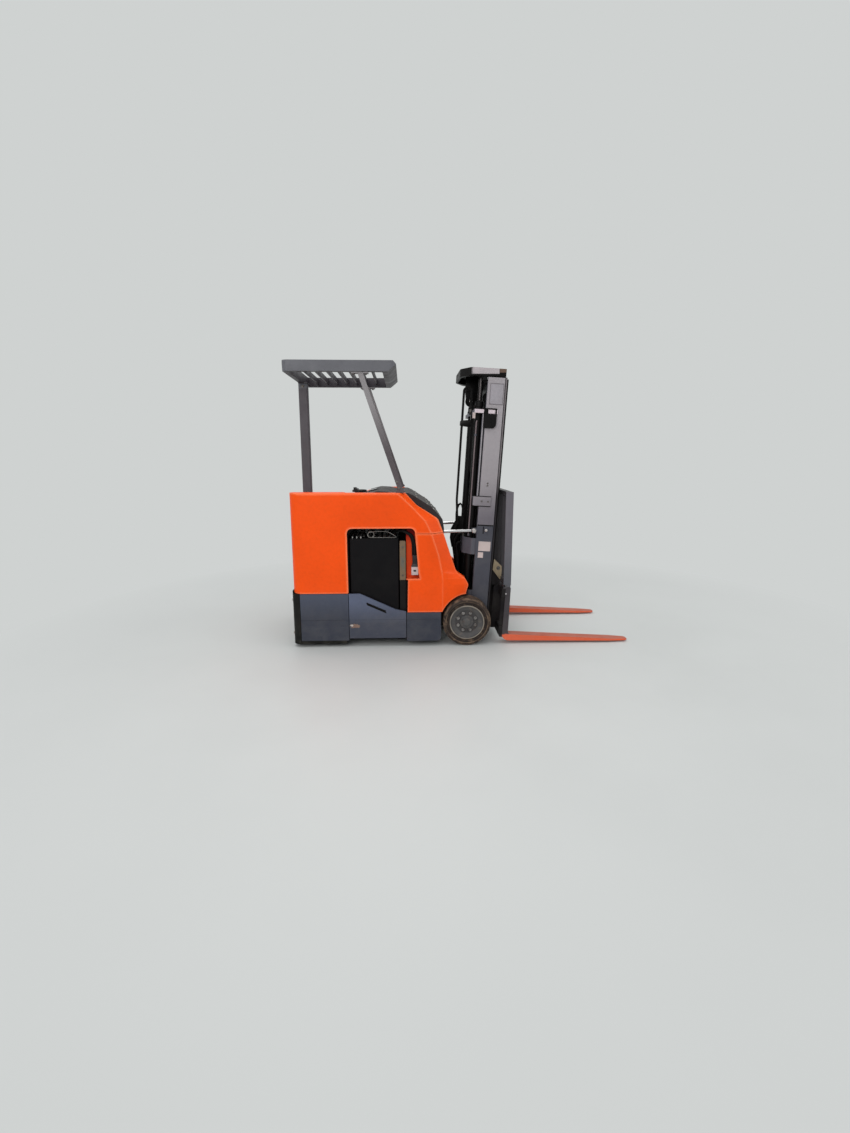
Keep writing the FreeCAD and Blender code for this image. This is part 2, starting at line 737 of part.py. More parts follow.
battery = box(battery_rear_x, battery_front_x, -battery_half_length, battery_half_length, battery_floor_z,
              battery_top)
battery = battery.makeFillet(10,
                             [e for e in battery.Edges if abs(e.BoundBox.ZLength - (battery_top - battery_floor_z)) < 1])
save("battery", battery)
retainer = plate_xz([(bar_x, retainer_bar_bottom), (bar_x, 908, 12), (bar_x + retainer_bar_depth, 908, 12),
                     (bar_x + retainer_bar_depth, retainer_bar_bottom)], post_y,
                    post_y + retainer_bar_thickness)
save("battery_retainers", [mirror_y(retainer), retainer])
plug_x = opening_front_x + 32
plug_back_y = -(pocket_back_y + pocket_wall + seat_gap)
plug = box(plug_x - 24, plug_x + 20, plug_back_y - 56, plug_back_y, 645, 716)
plug_handle = box(plug_x - 20, plug_x + 18, plug_back_y - 50, plug_back_y - 8, 715, 786)
save("cable_plug", fuse([plug, plug_handle]))
lead_y = plug_back_y - 29
lead = pipe([(-590, -400, battery_top), (-590, -400, 984), (-512, -470, 990), (plug_x - 22, lead_y, 952),
             (plug_x, lead_y, 866), (plug_x, lead_y, 786)], [26, 60, 40, 60], lead_radius)
save("battery_lead", lead)

# Overhead guard: rounded perimeter beam with transverse slats, one rear post, two leaning front posts


def guard_plan(inset, front_x, z0, z1):
    radius = guard_corner - inset * 0.6
    return plate_xy([(guard_rear_x + inset, -guard_half_width + inset, radius),
                     (guard_rear_x + inset, guard_half_width - inset, radius),
                     (front_x, guard_half_width - inset, radius),
                     (front_x, -guard_half_width + inset, radius)], z0, z1)


guard_low = guard_top - fascia_height
guard_profile = [(guard_rear_x, guard_top, 8), (guard_rear_x + guard_rear_draft, guard_low),
                 (guard_front_x - guard_front_rake, guard_low, 6),
                 (guard_front_x, guard_top - guard_nose_drop, 8),
                 (guard_front_x - guard_nose_drop, guard_top, 8)]
guard_inner_x = guard_front_x - guard_front_rim
rim = guard_plan(0, guard_front_x, guard_low, guard_top).common(plate_xz(guard_profile, -half_width,
                                                                         half_width))
rim = rim.cut(guard_plan(guard_rim, guard_inner_x, guard_low - 1, guard_top + 1))
slats = []
slat_span = guard_inner_x - guard_rear_x - guard_rim
for i in range(slat_count):
    x = guard_rear_x + guard_rim + slat_span * (i + 1) / (slat_count + 1)
    slats.append(box(x - slat_thickness / 2, x + slat_thickness / 2, -guard_half_width + guard_rim - 1,
                     guard_half_width - guard_rim + 1, guard_top - 12 - slat_height, guard_top - 12))
save("overhead_guard", fuse([rim] + slats))
rear_post_x = guard_rear_x + guard_rear_draft / 2 + rear_post_depth / 2
rear_post = plate_xy([(rear_post_x - rear_post_depth / 2, rear_post_y - rear_post_width / 2, 12),
                      (rear_post_x - rear_post_depth / 2, rear_post_y + rear_post_width / 2, 12),
                      (rear_post_x + rear_post_depth / 2, rear_post_y + rear_post_width / 2, 12),
                      (rear_post_x + rear_post_depth / 2, rear_post_y - rear_post_width / 2, 12)],
                     left_rear_top, guard_low)
save("rear_post", rear_post)
half_post = front_post_depth / 2
post_outline = [(front_post_foot_x - half_post - 16, body_top),
                (front_post_foot_x - half_post - 14, body_top + post_flange),
                (front_post_foot_x - half_post, body_top + 24),
                (front_post_top_x - half_post, guard_low - post_flange),
                (front_post_top_x - half_post - 50, guard_low - post_flange),
                (front_post_top_x - half_post - 50, guard_low),
                (front_post_top_x + half_post + 40, guard_low),
                (front_post_top_x + half_post + 40, guard_low - post_flange),
                (front_post_top_x + half_post, guard_low - post_flange),
                (front_post_foot_x + half_post, body_top + 24),
                (front_post_foot_x + half_post + 14, body_top + post_flange),
                (front_post_foot_x + half_post + 2, body_top)]
front_posts = []
for side in (-1, 1):
    front_posts.append(plate_xz(post_outline, side * (front_post_y - front_post_width / 2),
                                side * (front_post_y + front_post_width / 2)))
save("front_posts", front_posts)

# Drive axle with its motor housings, and the two drive wheels

motor_x = axle_x - motor_behind_axle
axle = rod_y(axle_x, axle_z, -inner_wheel_face + 6, inner_wheel_face - 6, trunnion_radius)
axle = axle.fuse([rod_y(motor_x, axle_z, -motor_half_length, motor_half_length, motor_radius),
                  rod_y(motor_x, axle_z, -motor_half_length - 14, motor_half_length + 14, motor_radius - 22),
                  rod_y(axle_x, axle_z, -half_width + 60, half_width - 60, spindle_radius)])
save("drive_axle", axle.removeSplitter())
wheel_inside = half_width - tyre_width
for name, side in SIDES:
    tyre = revolve_y([(rim_radius, wheel_inside)] + shoulder(tyre_radius, wheel_inside, 1)
                     + shoulder(tyre_radius, half_width, -1) + [(rim_radius + 16, half_width),
                                                                (rim_radius + 13, half_width - 7),
                                                                (rim_radius, half_width - 7)], axle_x, axle_z)
    bore = spindle_radius + running_fit
    well = rim_radius - 22
    hub = revolve_y([(bore, wheel_inside + 30), (well, wheel_inside + 30), (well, wheel_inside),
                     (rim_radius, wheel_inside),
                     (rim_radius, half_width - 3), (rim_radius - 3, half_width),
                     (rim_radius - 10, half_width),
                     (rim_radius - 16, half_width - 12),
                     (hub_disc_radius + hub_recess_width + 12, half_width - 22),
                     (hub_disc_radius + hub_recess_width, half_width - 28),
                     (hub_disc_radius + 4, half_width - 28),
                     (hub_disc_radius, half_width - 20), (0, half_width - 20), (0, half_width - 56),
                     (bore, half_width - 56)],
                    axle_x, axle_z)
    studs = []
    for i in range(wheel_bolt_count):
        angle = 2 * math.pi * (i + 0.5) / wheel_bolt_count
        studs.append(rod_y(axle_x + wheel_bolt_circle * math.cos(angle),
                           axle_z + wheel_bolt_circle * math.sin(angle),
                           half_width - 36, half_width - 19, wheel_bolt_radius))
    hub = hub.fuse(studs)
    save("tyre_" + name, on_side(tyre, side))
    save("wheel_hub_" + name, on_side(hub, side))

# Steered twin wheels on a turning yoke

yoke_top = steer_plate_z - 6
yoke = fuse([rod_z(steer_x, steer_y, yoke_top - 22, yoke_top, 84),
             rod_z(steer_x, steer_y, yoke_top - 1, steer_plate_z + 46,
                                                                         steer_shaft_radius),
             box(steer_x - 30, steer_x + 30, steer_y - steer_wheel_gap / 2 + 6,
                 steer_y + steer_wheel_gap / 2 - 6,
                 steer_radius, yoke_top - 10),
             rod_y(steer_x, steer_radius, steer_y - steer_wheel_gap / 2 + 6,
                   steer_y + steer_wheel_gap / 2 - 6, 36)])
yoke = yoke.cut(rod_y(steer_x, steer_radius, steer_y - 200, steer_y + 200, 18 + running_fit))
save("steer_yoke", yoke)
outer_y = steer_wheel_gap / 2 + steer_tread_width
treads = []
for low, high in ((-outer_y, -steer_wheel_gap / 2), (steer_wheel_gap / 2, outer_y)):
    treads.append(revolve_y([(steer_hub_radius, steer_y + low), (steer_radius - 7, steer_y + low),
                             (steer_radius, steer_y + low + 7), (steer_radius, steer_y + high - 7),
                             (steer_radius - 7, steer_y + high), (steer_hub_radius, steer_y + high)],
                            steer_x, steer_radius))
save("steer_tyres", treads)
steer_hub = fuse([rod_y(steer_x, steer_radius, steer_y - outer_y, steer_y + outer_y, 18),
                  rod_y(steer_x, steer_radius, steer_y - outer_y + 6, steer_y - steer_wheel_gap / 2,
                        steer_hub_radius),
                  rod_y(steer_x, steer_radius, steer_y + steer_wheel_gap / 2, steer_y + outer_y - 6,
                        steer_hub_radius)])
save("steer_hubs", steer_hub)

# Mast stages: nested rails, each stage stepped forward of the one outside it


def rail(outside, flange, web_outside, web, rear_u, w0, w1):
    """One left rail of channel or I section, its flanges inwards from outside."""
    front_u = rear_u + rail_depth
    return fuse([box(rear_u, front_u, web_outside - web, web_outside, w0, w1),
                 box(rear_u, rear_u + rail_wall, outside - flange, outside, w0, w1),
                 box(front_u - rail_wall, front_u, outside - flange, outside, w0, w1)])


def both(shape):
    return [shape, mirror_y(shape)]


middle_rear_u = outer_rail_rear_u + stage_step_u
inner_rear_u = middle_rear_u + stage_step_u
outer_rail = rail(outer_rail_outside, outer_flange, outer_rail_outside, rail_wall, outer_rail_rear_u,
                  rail_bottom_w,
                  outer_rail_top_w)
yoke_ring = rod_y(0, 0, outer_rail_outside - outer_flange + 2, outer_rail_outside - 2, trunnion_radius + 20)
outer_parts = both(outer_rail) + both(yoke_ring)
tilt_u, tilt_w = mast_coordinates(tilt_pin_x, tilt_pin_z)
lug_parts = [rod_y(tilt_u, tilt_w, tilt_cyl_y - 27, tilt_cyl_y + 27, tilt_pin_radius)]
for y0, y1 in ((15, 27), (-27, -15)):
    lug_parts.append(rod_y(tilt_u, tilt_w, tilt_cyl_y + y0, tilt_cyl_y + y1, tilt_eye_radius))
    lug_parts.append(box(tilt_u, outer_rail_rear_u + 2, tilt_cyl_y + y0, tilt_cyl_y + y1,
                         tilt_w - tilt_eye_radius,
                         tilt_w + tilt_eye_radius))
tilt_lug = fuse(lug_parts)
outer_parts += both(tilt_lug)


def bowed_tie(bow_u, w0, w1):
    """A cross member that bends behind the lift cylinders, from rail to rail."""
    side_y = outer_rail_outside - 6
    turn_y = lift_cyl_y + 12
    outline = [(outer_rail_rear_u, -side_y), (12, -side_y, 24), (bow_u, -turn_y, 44), (bow_u, turn_y, 44),
               (12, side_y, 24), (outer_rail_rear_u, side_y), (outer_rail_rear_u, side_y - tie_wall),
               (18, side_y - tie_wall, 14), (bow_u + tie_wall, turn_y - 6, 32),
               (bow_u + tie_wall, -turn_y + 6, 32),
               (18, -side_y + tie_wall, 14), (outer_rail_rear_u, -side_y + tie_wall)]
    return plate_xy(outline, w0, w1)


for low, high in outer_ties:
    outer_parts.append(bowed_tie(tie_bow_u, low, high))
tie_rear_u = lift_cyl_u - lift_cyl_radius - moving_gap - clamp_plate
outer_parts.append(box(tie_rear_u, tie_rear_u + clamp_plate, -outer_rail_outside - clamp_plate,
                       outer_rail_outside + clamp_plate,
                       top_tie_w, top_tie_w + top_tie_height))
outer_parts += both(box(tie_rear_u, clamp_front_u, outer_rail_outside - 1, outer_rail_outside + clamp_plate,
                        top_tie_w,
                        top_tie_w + top_tie_height))
clamp = box(lift_cyl_u - 8, clamp_front_u, outer_rail_outside - 1, outer_rail_outside + clamp_plate, clamp_w,
            clamp_w + clamp_height)
clamp_arm = box(lift_cyl_u - 8, lift_cyl_u + 8, lift_cyl_y, outer_rail_outside, clamp_w,
                clamp_w + clamp_height)
clamp_arm = clamp_arm.cut(rod_z(lift_cyl_u, lift_cyl_y, clamp_w - 1, clamp_w + clamp_height + 1,
                                lift_cyl_radius + seat_gap))
clamp_foot = box(lift_cyl_u + 7, outer_rail_rear_u + 1, outer_rail_outside - 22, outer_rail_outside,
                 clamp_w, clamp_w + clamp_height)
outer_parts += both(fuse([clamp, clamp_arm, clamp_foot]))
tube_u = outer_rail_rear_u - hose_tube_radius - 9
tube_y = -outer_rail_outside + hose_tube_radius + 1
outer_parts.append(rod_z(tube_u, tube_y, clamp_w + clamp_height - 1, top_tie_w + 1, hose_tube_radius))
base_plate = box(lift_cyl_u - lift_cyl_radius, outer_rail_rear_u, lift_cyl_y - lift_cyl_radius,
                 outer_rail_outside,
                 lift_barrel_bottom_w - 14, lift_barrel_bottom_w)
outer_parts += both(base_plate)
outer_stage = fuse(outer_parts).cut(rod_y(0, 0, -500, 500, trunnion_radius + running_fit))
outer_stage = outer_stage.cut(box(-80, 49, -outer_rail_outside + outer_flange,
                                  outer_rail_outside - outer_flange, -100, 46))
save("mast_outer_stage", lean(outer_stage))

hoses = [plate_xz([(hose_block_u, hose_block_w, 10), (hose_block_u, top_tie_w - 4, 4),
                   (hose_block_u + hose_block_length, top_tie_w - 4, 4),
                   (hose_block_u + hose_block_length, hose_block_w + 24, 10),
                   (hose_block_u + hose_block_length - 20, hose_block_w, 10)],
                  -outer_rail_outside - seat_gap - 16, -outer_rail_outside - seat_gap)]
low_hose_u = tie_bow_u - hose_radius - seat_gap
for y, peak_u, peak_w in hose_arches:
    over_u = tie_bow_u + tie_wall / 2
    hoses.append(pipe([(low_hose_u, y, hose_low_w), (low_hose_u, y, hose_leave_w), (peak_u, y, peak_w),
                       (over_u, y, arch_over_w),
                       (over_u, y, outer_ties[1][1] + seat_gap)], [hose_bend, hose_bend, arch_bend],
                      hose_radius))
for y, peak_u, peak_w in hose_risers:
    top_u = tie_rear_u - hose_radius - seat_gap
    hoses.append(pipe([(low_hose_u, y, hose_low_w), (low_hose_u, y, hose_leave_w), (peak_u, y, peak_w),
                       (riser_u + riser_step, y, riser_foot_w),
                       (riser_u, y, riser_straight_w), (riser_u, y, riser_top_w), (top_u, y, riser_top_w),
                       (top_u, y, top_tie_w)],
                      [hose_bend, hose_bend, hose_bend, riser_bend, riser_loop, riser_loop], hose_radius))
save("mast_hoses", [lean(hose) for hose in hoses])

barrels = []
rods = []
for side in (-1, 1):
    y = side * lift_cyl_y
    barrel = rod_z(lift_cyl_u, y, lift_barrel_bottom_w, lift_barrel_top_w, lift_cyl_radius)
    barrel = barrel.fuse(rod_z(lift_cyl_u, y, lift_barrel_top_w - 34, lift_barrel_top_w, lift_cyl_radius + 4))
    barrels.append(lean(barrel.cut(rod_z(lift_cyl_u, y, lift_barrel_bottom_w + 30, lift_barrel_top_w + 1,
                                         lift_rod_radius + running_fit))))
    rods.append(lean(rod_z(lift_cyl_u, y, lift_barrel_bottom_w + 36, cap_bottom_w, lift_rod_radius)))
save("lift_cylinders", barrels)
save("lift_rods", rods)

middle_rail = rail(middle_rail_outside, middle_flange, middle_web_outside, rail_web, middle_rear_u,
                   stage_bottom_w,
                   cap_bottom_w)
cap_parts = [plate_xy([(cap_front_u, -outer_rail_outside, 10), (cap_rear_u, -outer_rail_outside, 40),
                       (cap_bow_u, -cap_turn_y, 70),
                       (cap_bow_u, cap_turn_y, 70), (cap_rear_u, outer_rail_outside, 40),
                       (cap_front_u, outer_rail_outside, 10), (cap_front_u, cap_inside_y),
                       (cap_plate_front_u, cap_inside_y, 20),
                       (cap_plate_front_u, -cap_inside_y, 20), (cap_front_u, -cap_inside_y)], cap_bottom_w,
                      cap_bottom_w + cap_thickness)]
cap = cap_parts[0].cut(plate_xy([(cap_plate_front_u - cap_wall, -cap_inside_y + 4, 10),
                                 (cap_rear_u + cap_wall, -cap_inside_y + 4, 20),
                                 (cap_bow_u + cap_wall, -cap_turn_y + 10, 60),
                                 (cap_bow_u + cap_wall, cap_turn_y - 10, 60),
                                 (cap_rear_u + cap_wall, cap_inside_y - 4, 20),
                                 (cap_plate_front_u - cap_wall, cap_inside_y - 4, 10)],
                                cap_bottom_w - 1, cap_bottom_w + cap_thickness - cap_plate))
middle_roller = rod_y(outer_rail_rear_u + rail_wall + roller_radius + seat_gap, roller_end_w,
                      middle_web_outside - 1,
                      outer_rail_outside - rail_wall - roller_side_clearance, roller_radius)
middle_parts = both(middle_rail) + both(middle_roller) + [cap]
for w0, w1 in middle_ties:
    middle_parts.append(box(middle_rear_u - 18, middle_rear_u, -middle_tie_half, middle_tie_half, w0, w1))
for side in (-1, 1):
    seat = rod_z(lift_cyl_u, side * lift_cyl_y, cap_bottom_w, cap_bottom_w + cap_thickness - 2,
                 lift_rod_radius + 8)
    middle_parts.append(seat)
save("mast_middle_stage", lean(fuse(middle_parts)))

inner_rail = rail(inner_rail_outside, inner_flange, inner_web_outside, rail_web, inner_rear_u,
                  stage_bottom_w, inner_rail_top_w)
inner_roller = rod_y(middle_rear_u + rail_wall + roller_radius + seat_gap, roller_end_w,
                     inner_web_outside - 1,
                     middle_web_outside - rail_web - roller_side_clearance, roller_radius)
inner_parts = both(inner_rail) + both(inner_roller)
for w0, w1 in inner_ties:
    inner_parts.append(box(inner_rear_u - 12, inner_rear_u, -inner_tie_half, inner_tie_half, w0, w1))
inner_foot = box(inner_rear_u, free_cyl_u + free_cyl_radius + 6, -inner_web_outside + rail_web,
                 inner_web_outside - rail_web,
                 stage_bottom_w, free_barrel_bottom_w)
inner_parts.append(inner_foot)
save("mast_inner_stage", lean(fuse(inner_parts)))

free_barrel = rod_z(free_cyl_u, 0, free_barrel_bottom_w, free_barrel_top_w, free_cyl_radius)
free_barrel = free_barrel.cut(rod_z(free_cyl_u, 0, free_barrel_bottom_w + 30, free_barrel_top_w + 1,
                                    free_rod_radius + running_fit))
save("free_lift_cylinder", lean(free_barrel))
head_w = free_barrel_top_w + 12 + sheave_radius
head = [rod_z(free_cyl_u, 0, free_barrel_bottom_w + 36, free_barrel_top_w + 14, free_rod_radius),
        box(free_cyl_u - 26, free_cyl_u + 26, -chain_y - sheave_width / 2 - 6,
            chain_y + sheave_width / 2 + 6, free_barrel_top_w + 8,
            free_barrel_top_w + 8 + 0.1 * sheave_radius + 6),
        box(free_cyl_u - 20, free_cyl_u + 20, -chain_y + sheave_width / 2, chain_y - sheave_width / 2,
            free_barrel_top_w + 8,
            head_w + 22),
        rod_y(free_cyl_u, head_w + 8, -chain_y - sheave_width / 2, chain_y + sheave_width / 2, 12)]
for side in (-1, 1):
    head.append(revolve_y([(0, side * chain_y - sheave_width / 2),
                           (sheave_radius, side * chain_y - sheave_width / 2),
                           (sheave_radius - 7, side * chain_y - sheave_width / 2 + 4),
                           (sheave_radius - 7, side * chain_y + sheave_width / 2 - 4),
                           (sheave_radius, side * chain_y + sheave_width / 2),
                           (0, side * chain_y + sheave_width / 2)],
                          free_cyl_u, head_w + 8))
save("free_lift_head", lean(fuse(head)))
chains = []
run = sheave_radius - 7 + 0.3
for side in (-1, 1):
    y0 = side * chain_y - chain_width / 2 + 3
    y1 = side * chain_y + chain_width / 2 - 3
    outer_r = run + chain_thickness
    loop = rod_y(free_cyl_u, head_w + 8, y0, y1, outer_r).cut(rod_y(free_cyl_u, head_w + 8, y0 - 1, y1 + 1,
                                                                    run))
    loop = loop.common(box(-500, 500, -300, 300, head_w + 8, 3000))
    front = box(free_cyl_u + run, free_cyl_u + outer_r, y0, y1, chain_front_bottom_w, head_w + 8)
    rear = box(free_cyl_u - outer_r, free_cyl_u - run, y0, y1, chain_rear_bottom_w, head_w + 8)
    chains.append(lean(fuse([loop, front, rear])))
save("lift_chains", chains)

# Carriage: two fork bars on roller plates that run in the inner rails

bar_rear_u = fork_rear_u - bar_thickness - seat_gap
low_w = carriage_bottom_w
high_w = carriage_bottom_w + carriage_height - bar_height
carriage = [box(bar_rear_u, fork_rear_u - seat_gap, -carriage_half_width, carriage_half_width, w,
                w + bar_height)
            for w in (low_w, high_w)]
roller_u = inner_rear_u + rail_wall + roller_radius + seat_gap
for side in (-1, 1):
    plate_y0 = side * (roller_plate_y - roller_plate)
    plate_y1 = side * roller_plate_y
    plate = plate_xz([(roller_u - 34, low_w + 8), (roller_u - 34, high_w + 160, 24),
                      (roller_u + 34, high_w + 160, 24),
                      (bar_rear_u + 1, high_w + bar_height - 6), (bar_rear_u + 1, low_w + 8)], plate_y0,
                     plate_y1)
    carriage.append(plate)
    for w in (low_w + 66, high_w + 96):
        carriage.append(rod_y(roller_u, w, plate_y1,
                              side * (inner_web_outside - rail_web - roller_side_clearance),
                              roller_radius))
lug = box(free_cyl_u + run + chain_thickness + moving_gap, bar_rear_u + 1, chain_y - 10, chain_y + 20,
          chain_front_bottom_w - chain_lug_height,
          chain_front_bottom_w - seat_gap)
web = box(bar_rear_u, bar_rear_u + 14, -roller_plate_y + 2, roller_plate_y - 2, low_w + bar_height, high_w)
carriage += [lug, mirror_y(lug), web.cut(box(0, 1000, -120, 120, low_w + bar_height + 40, high_w - 40))]
gusset = plate_xz([(gusset_rear_u, low_w + 8), (gusset_rear_u, high_w + bar_height - gusset_bevel),
                   (gusset_rear_u + gusset_bevel * 0.7, high_w + bar_height),
                   (bar_rear_u + 1, high_w + bar_height), (bar_rear_u + 1, low_w + 8)], gusset_y,
                  gusset_y + gusset_plate)
carriage += both(gusset)
save("carriage", lean(fuse(carriage)))

# Forks: hooked shank, rounded heel and a blade that thins towards its tip

shank_front_u = fork_rear_u + shank_thickness
tip_u = shank_front_u + fork_length
blade_top_w = carriage_bottom_w + blade_above_carriage
fork_outline = [(fork_rear_u, high_w + bar_height + hook_rise),
                (fork_rear_u, blade_top_w - fork_heel_thickness, 58),
                (tip_u - 4, blade_top_w - fork_tip_thickness, 5), (tip_u, blade_top_w, 3),
                (shank_front_u, blade_top_w, 26),
                (shank_front_u - 8, high_w + bar_height + hook_rise, 10)]
hook_top = plate_xz([(bar_rear_u + 8, high_w + bar_height + seat_gap),
                     (bar_rear_u + 8, high_w + bar_height + hook_rise, 6),
                     (fork_rear_u + 10, high_w + bar_height + hook_rise),
                     (fork_rear_u + 10, high_w + bar_height + seat_gap)],
                    0, fork_width)
hook_low = plate_xz([(bar_rear_u + 8, low_w - 22, 8), (bar_rear_u + 8, low_w - seat_gap),
                     (fork_rear_u + 10, low_w - seat_gap),
                     (fork_rear_u + 10, low_w - 22)], 0, fork_width)
fork = plate_xz(fork_outline, 0, fork_width).fuse([hook_top, hook_low])
fork.translate(V(0, fork_outside - fork_width, 0))
plan_cut = plate_xy([(tip_u - 160, fork_outside - fork_width - 10),
                     (tip_u + 10, fork_outside - fork_width - 10),
                     (tip_u + 10, fork_outside - fork_width / 2 - 8),
                     (tip_u - 18, fork_outside - fork_width + 14, 20),
                     (tip_u - 160, fork_outside - fork_width)], -400, 400)
plan_cut_outer = plan_cut.mirror(V(0, fork_outside - fork_width / 2, 0), V(0, 1, 0))
fork = fork.cut(plan_cut).cut(plan_cut_outer)
pin_w = high_w + bar_height + hook_rise
fork_pin = rod_z(bar_rear_u + 24, fork_outside - fork_width / 2, pin_w - 1, pin_w + 14, 9)
fork = fork.fuse(fork_pin).removeSplitter()
for name, side in SIDES:
    save("fork_" + name, lean(on_side(fork, side)))

# Load backrest, leaning back a little from the line of the forks

rest_low_w = pin_w + 18
rest_top_w = mast_coordinates(axle_x + fork_rear_u, backrest_top_z)[1]
lean_back = math.tan(math.radians(mast_lean_deg))


def upright_plate(rear_u, depth, y0, y1, w0, w1):
    shift0 = (w0 - rest_low_w) * lean_back
    shift1 = (w1 - rest_low_w) * lean_back
    return plate_xz([(rear_u - shift0, w0), (rear_u - shift1, w1), (rear_u + depth - shift1, w1),
                     (rear_u + depth - shift0, w0)], y0, y1)


rest_rear_u = fork_rear_u - 22
rest = [box(rest_rear_u, rest_rear_u + 30, -carriage_half_width + 1, carriage_half_width - 1, rest_low_w,
            rest_low_w + 40)]
for side in (-1, 1):
    rest.append(upright_plate(rest_rear_u, backrest_depth, side * (carriage_half_width - backrest_plate),
                              side * carriage_half_width, rest_low_w, rest_top_w))
    rest.append(box(bar_rear_u + 2, fork_rear_u - 2, side * 300, side * 360, high_w + bar_height + seat_gap,
                    rest_low_w + 1))
for i in range(backrest_bar_count):
    y = -carriage_half_width + 2 * carriage_half_width * (i + 1) / (backrest_bar_count + 1)
    rest.append(upright_plate(rest_rear_u + 4, backrest_bar_depth, y - backrest_bar / 2,
                              y + backrest_bar / 2, rest_low_w + 20, rest_top_w - 10))
rest.append(upright_plate(rest_rear_u, backrest_depth - 6, -carriage_half_width + 1,
                          carriage_half_width - 1, rest_top_w - 36, rest_top_w))
save("load_backrest", lean(fuse(rest)))

# Tilt cylinders: barrels hinged under the hood, rods hooked to the mast's lugs

tilt_barrels = []
tilt_rods = []
dx = tilt_pin_x - tilt_base_x
dz = tilt_pin_z - tilt_base_z
tilt_pitch = math.degrees(math.atan2(dz, dx))
tilt_span = math.hypot(dx, dz)


def along(y, a, b, radius):
    """A cylinder on the tilt cylinder's axis, from a to b ahead of its base pin, before it is pitched."""
    return Part.makeCylinder(radius, b - a, V(tilt_base_x + a, y, tilt_base_z), V(1, 0, 0))


def pitched(shape):
    placed = shape.copy()
    placed.rotate(V(tilt_base_x, 0, tilt_base_z), V(0, 1, 0), -tilt_pitch)
    return placed


for side in (-1, 1):
    y = side * tilt_cyl_y
    barrel = along(y, tilt_barrel_start, tilt_barrel_end, tilt_barrel_radius)
    barrel = barrel.fuse([rod_y(tilt_base_x, tilt_base_z, y - 14, y + 14, 24),
                          along(y, 12, tilt_barrel_start + 6, 12),
                          along(y, tilt_barrel_end - 20, tilt_barrel_end, tilt_barrel_radius + 3)])
    barrel = barrel.cut(along(y, tilt_bore_start, tilt_barrel_end + 1, tilt_rod_radius + running_fit))
    barrel = barrel.cut(rod_y(tilt_base_x, tilt_base_z, y - 40, y + 40, tilt_pin_radius + running_fit))
    tilt_barrels.append(pitched(barrel.removeSplitter()))
    pin_x = tilt_base_x + tilt_span
    shaft = along(y, tilt_span - tilt_rod_length, tilt_span - tilt_pin_radius - tilt_pin_slack - 2,
                  tilt_rod_radius)
    eye = shaft.fuse(rod_y(pin_x, tilt_base_z, y - 12, y + 12, tilt_eye_radius))
    eye = eye.cut(rod_y(pin_x, tilt_base_z, y - 40, y + 40, tilt_pin_radius + tilt_pin_slack))
    tilt_rods.append(pitched(eye.removeSplitter()))
save("tilt_cylinders", tilt_barrels)
save("tilt_rods", tilt_rods)
tilt_anchors = []
for side in (-1, 1):
    y = side * tilt_cyl_y
    ears = [box(opening_front_x + 40 + seat_gap, tilt_base_x + 22, y + a, y + b, tilt_base_z - 30,
                tilt_base_z + 22)
            for a, b in ((-30, -16), (16, 30))]
    back = box(opening_front_x + 40 + seat_gap, opening_front_x + 50, y - 30, y + 30, tilt_base_z - 30,
               tilt_base_z + 22)
    tilt_anchors.append(fuse(ears + [back, rod_y(tilt_base_x, tilt_base_z, y - 30, y + 30, tilt_pin_radius)]))
save("tilt_anchors", tilt_anchors)

low = V(1e9, 1e9, 1e9)
high = V(-1e9, -1e9, -1e9)
for shape in written.values():
    bounds = shape.BoundBox
    low = V(min(low.x, bounds.XMin), min(low.y, bounds.YMin), min(low.z, bounds.ZMin))
    high = V(max(high.x, bounds.XMax), max(high.y, bounds.YMax), max(high.z, bounds.ZMax))
print("box", [round(v, 1) for v in (low.x, low.y, low.z, high.x, high.y, high.z)], "nodes", len(written))
for name, shape in written.items():
    if not shape.isValid() or shape.Volume <= 0:
        print("not valid", name)
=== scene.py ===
import math

import bmesh
import bpy
from mathutils import Matrix, Vector


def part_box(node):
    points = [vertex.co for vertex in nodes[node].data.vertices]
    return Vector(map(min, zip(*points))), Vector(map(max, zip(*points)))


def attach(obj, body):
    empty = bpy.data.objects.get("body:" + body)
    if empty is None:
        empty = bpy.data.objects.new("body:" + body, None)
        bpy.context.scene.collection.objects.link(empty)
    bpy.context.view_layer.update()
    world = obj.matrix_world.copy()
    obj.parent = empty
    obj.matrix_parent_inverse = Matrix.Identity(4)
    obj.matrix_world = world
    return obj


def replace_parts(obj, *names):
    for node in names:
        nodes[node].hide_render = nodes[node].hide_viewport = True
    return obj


# The looks of a stand-up electric forklift, built round its CAD frame. Lengths are in metres, in the CAD's
# own frame: +X to the fork tips, +Y to the truck's left, +Z up. The photographed side is the truck's right.

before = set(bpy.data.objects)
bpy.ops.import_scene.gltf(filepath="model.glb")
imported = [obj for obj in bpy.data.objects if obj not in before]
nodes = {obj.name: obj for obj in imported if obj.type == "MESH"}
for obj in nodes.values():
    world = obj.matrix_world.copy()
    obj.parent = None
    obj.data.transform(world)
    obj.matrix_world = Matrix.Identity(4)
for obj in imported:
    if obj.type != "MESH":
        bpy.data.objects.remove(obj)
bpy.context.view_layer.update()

RIGHT, LEFT = -1, 1
UP = Vector((0, 0, 1))


# Places taken from the frame

def centre(node):
    """The middle of a node's box."""
    low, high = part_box(node)
    return (low + high) / 2


tyre_low, tyre_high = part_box("tyre_right")
axle = Vector(((tyre_low.x + tyre_high.x) / 2, 0, (tyre_high.z - tyre_low.z) / 2))
side_face = -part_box("side_panel_right")[0].y
mast_lean = math.radians(3.2)
MAST = Matrix.Translation(axle) @ Matrix.Rotation(mast_lean, 4, "Y")
WORLD = Matrix.Identity(4)


# Shader building

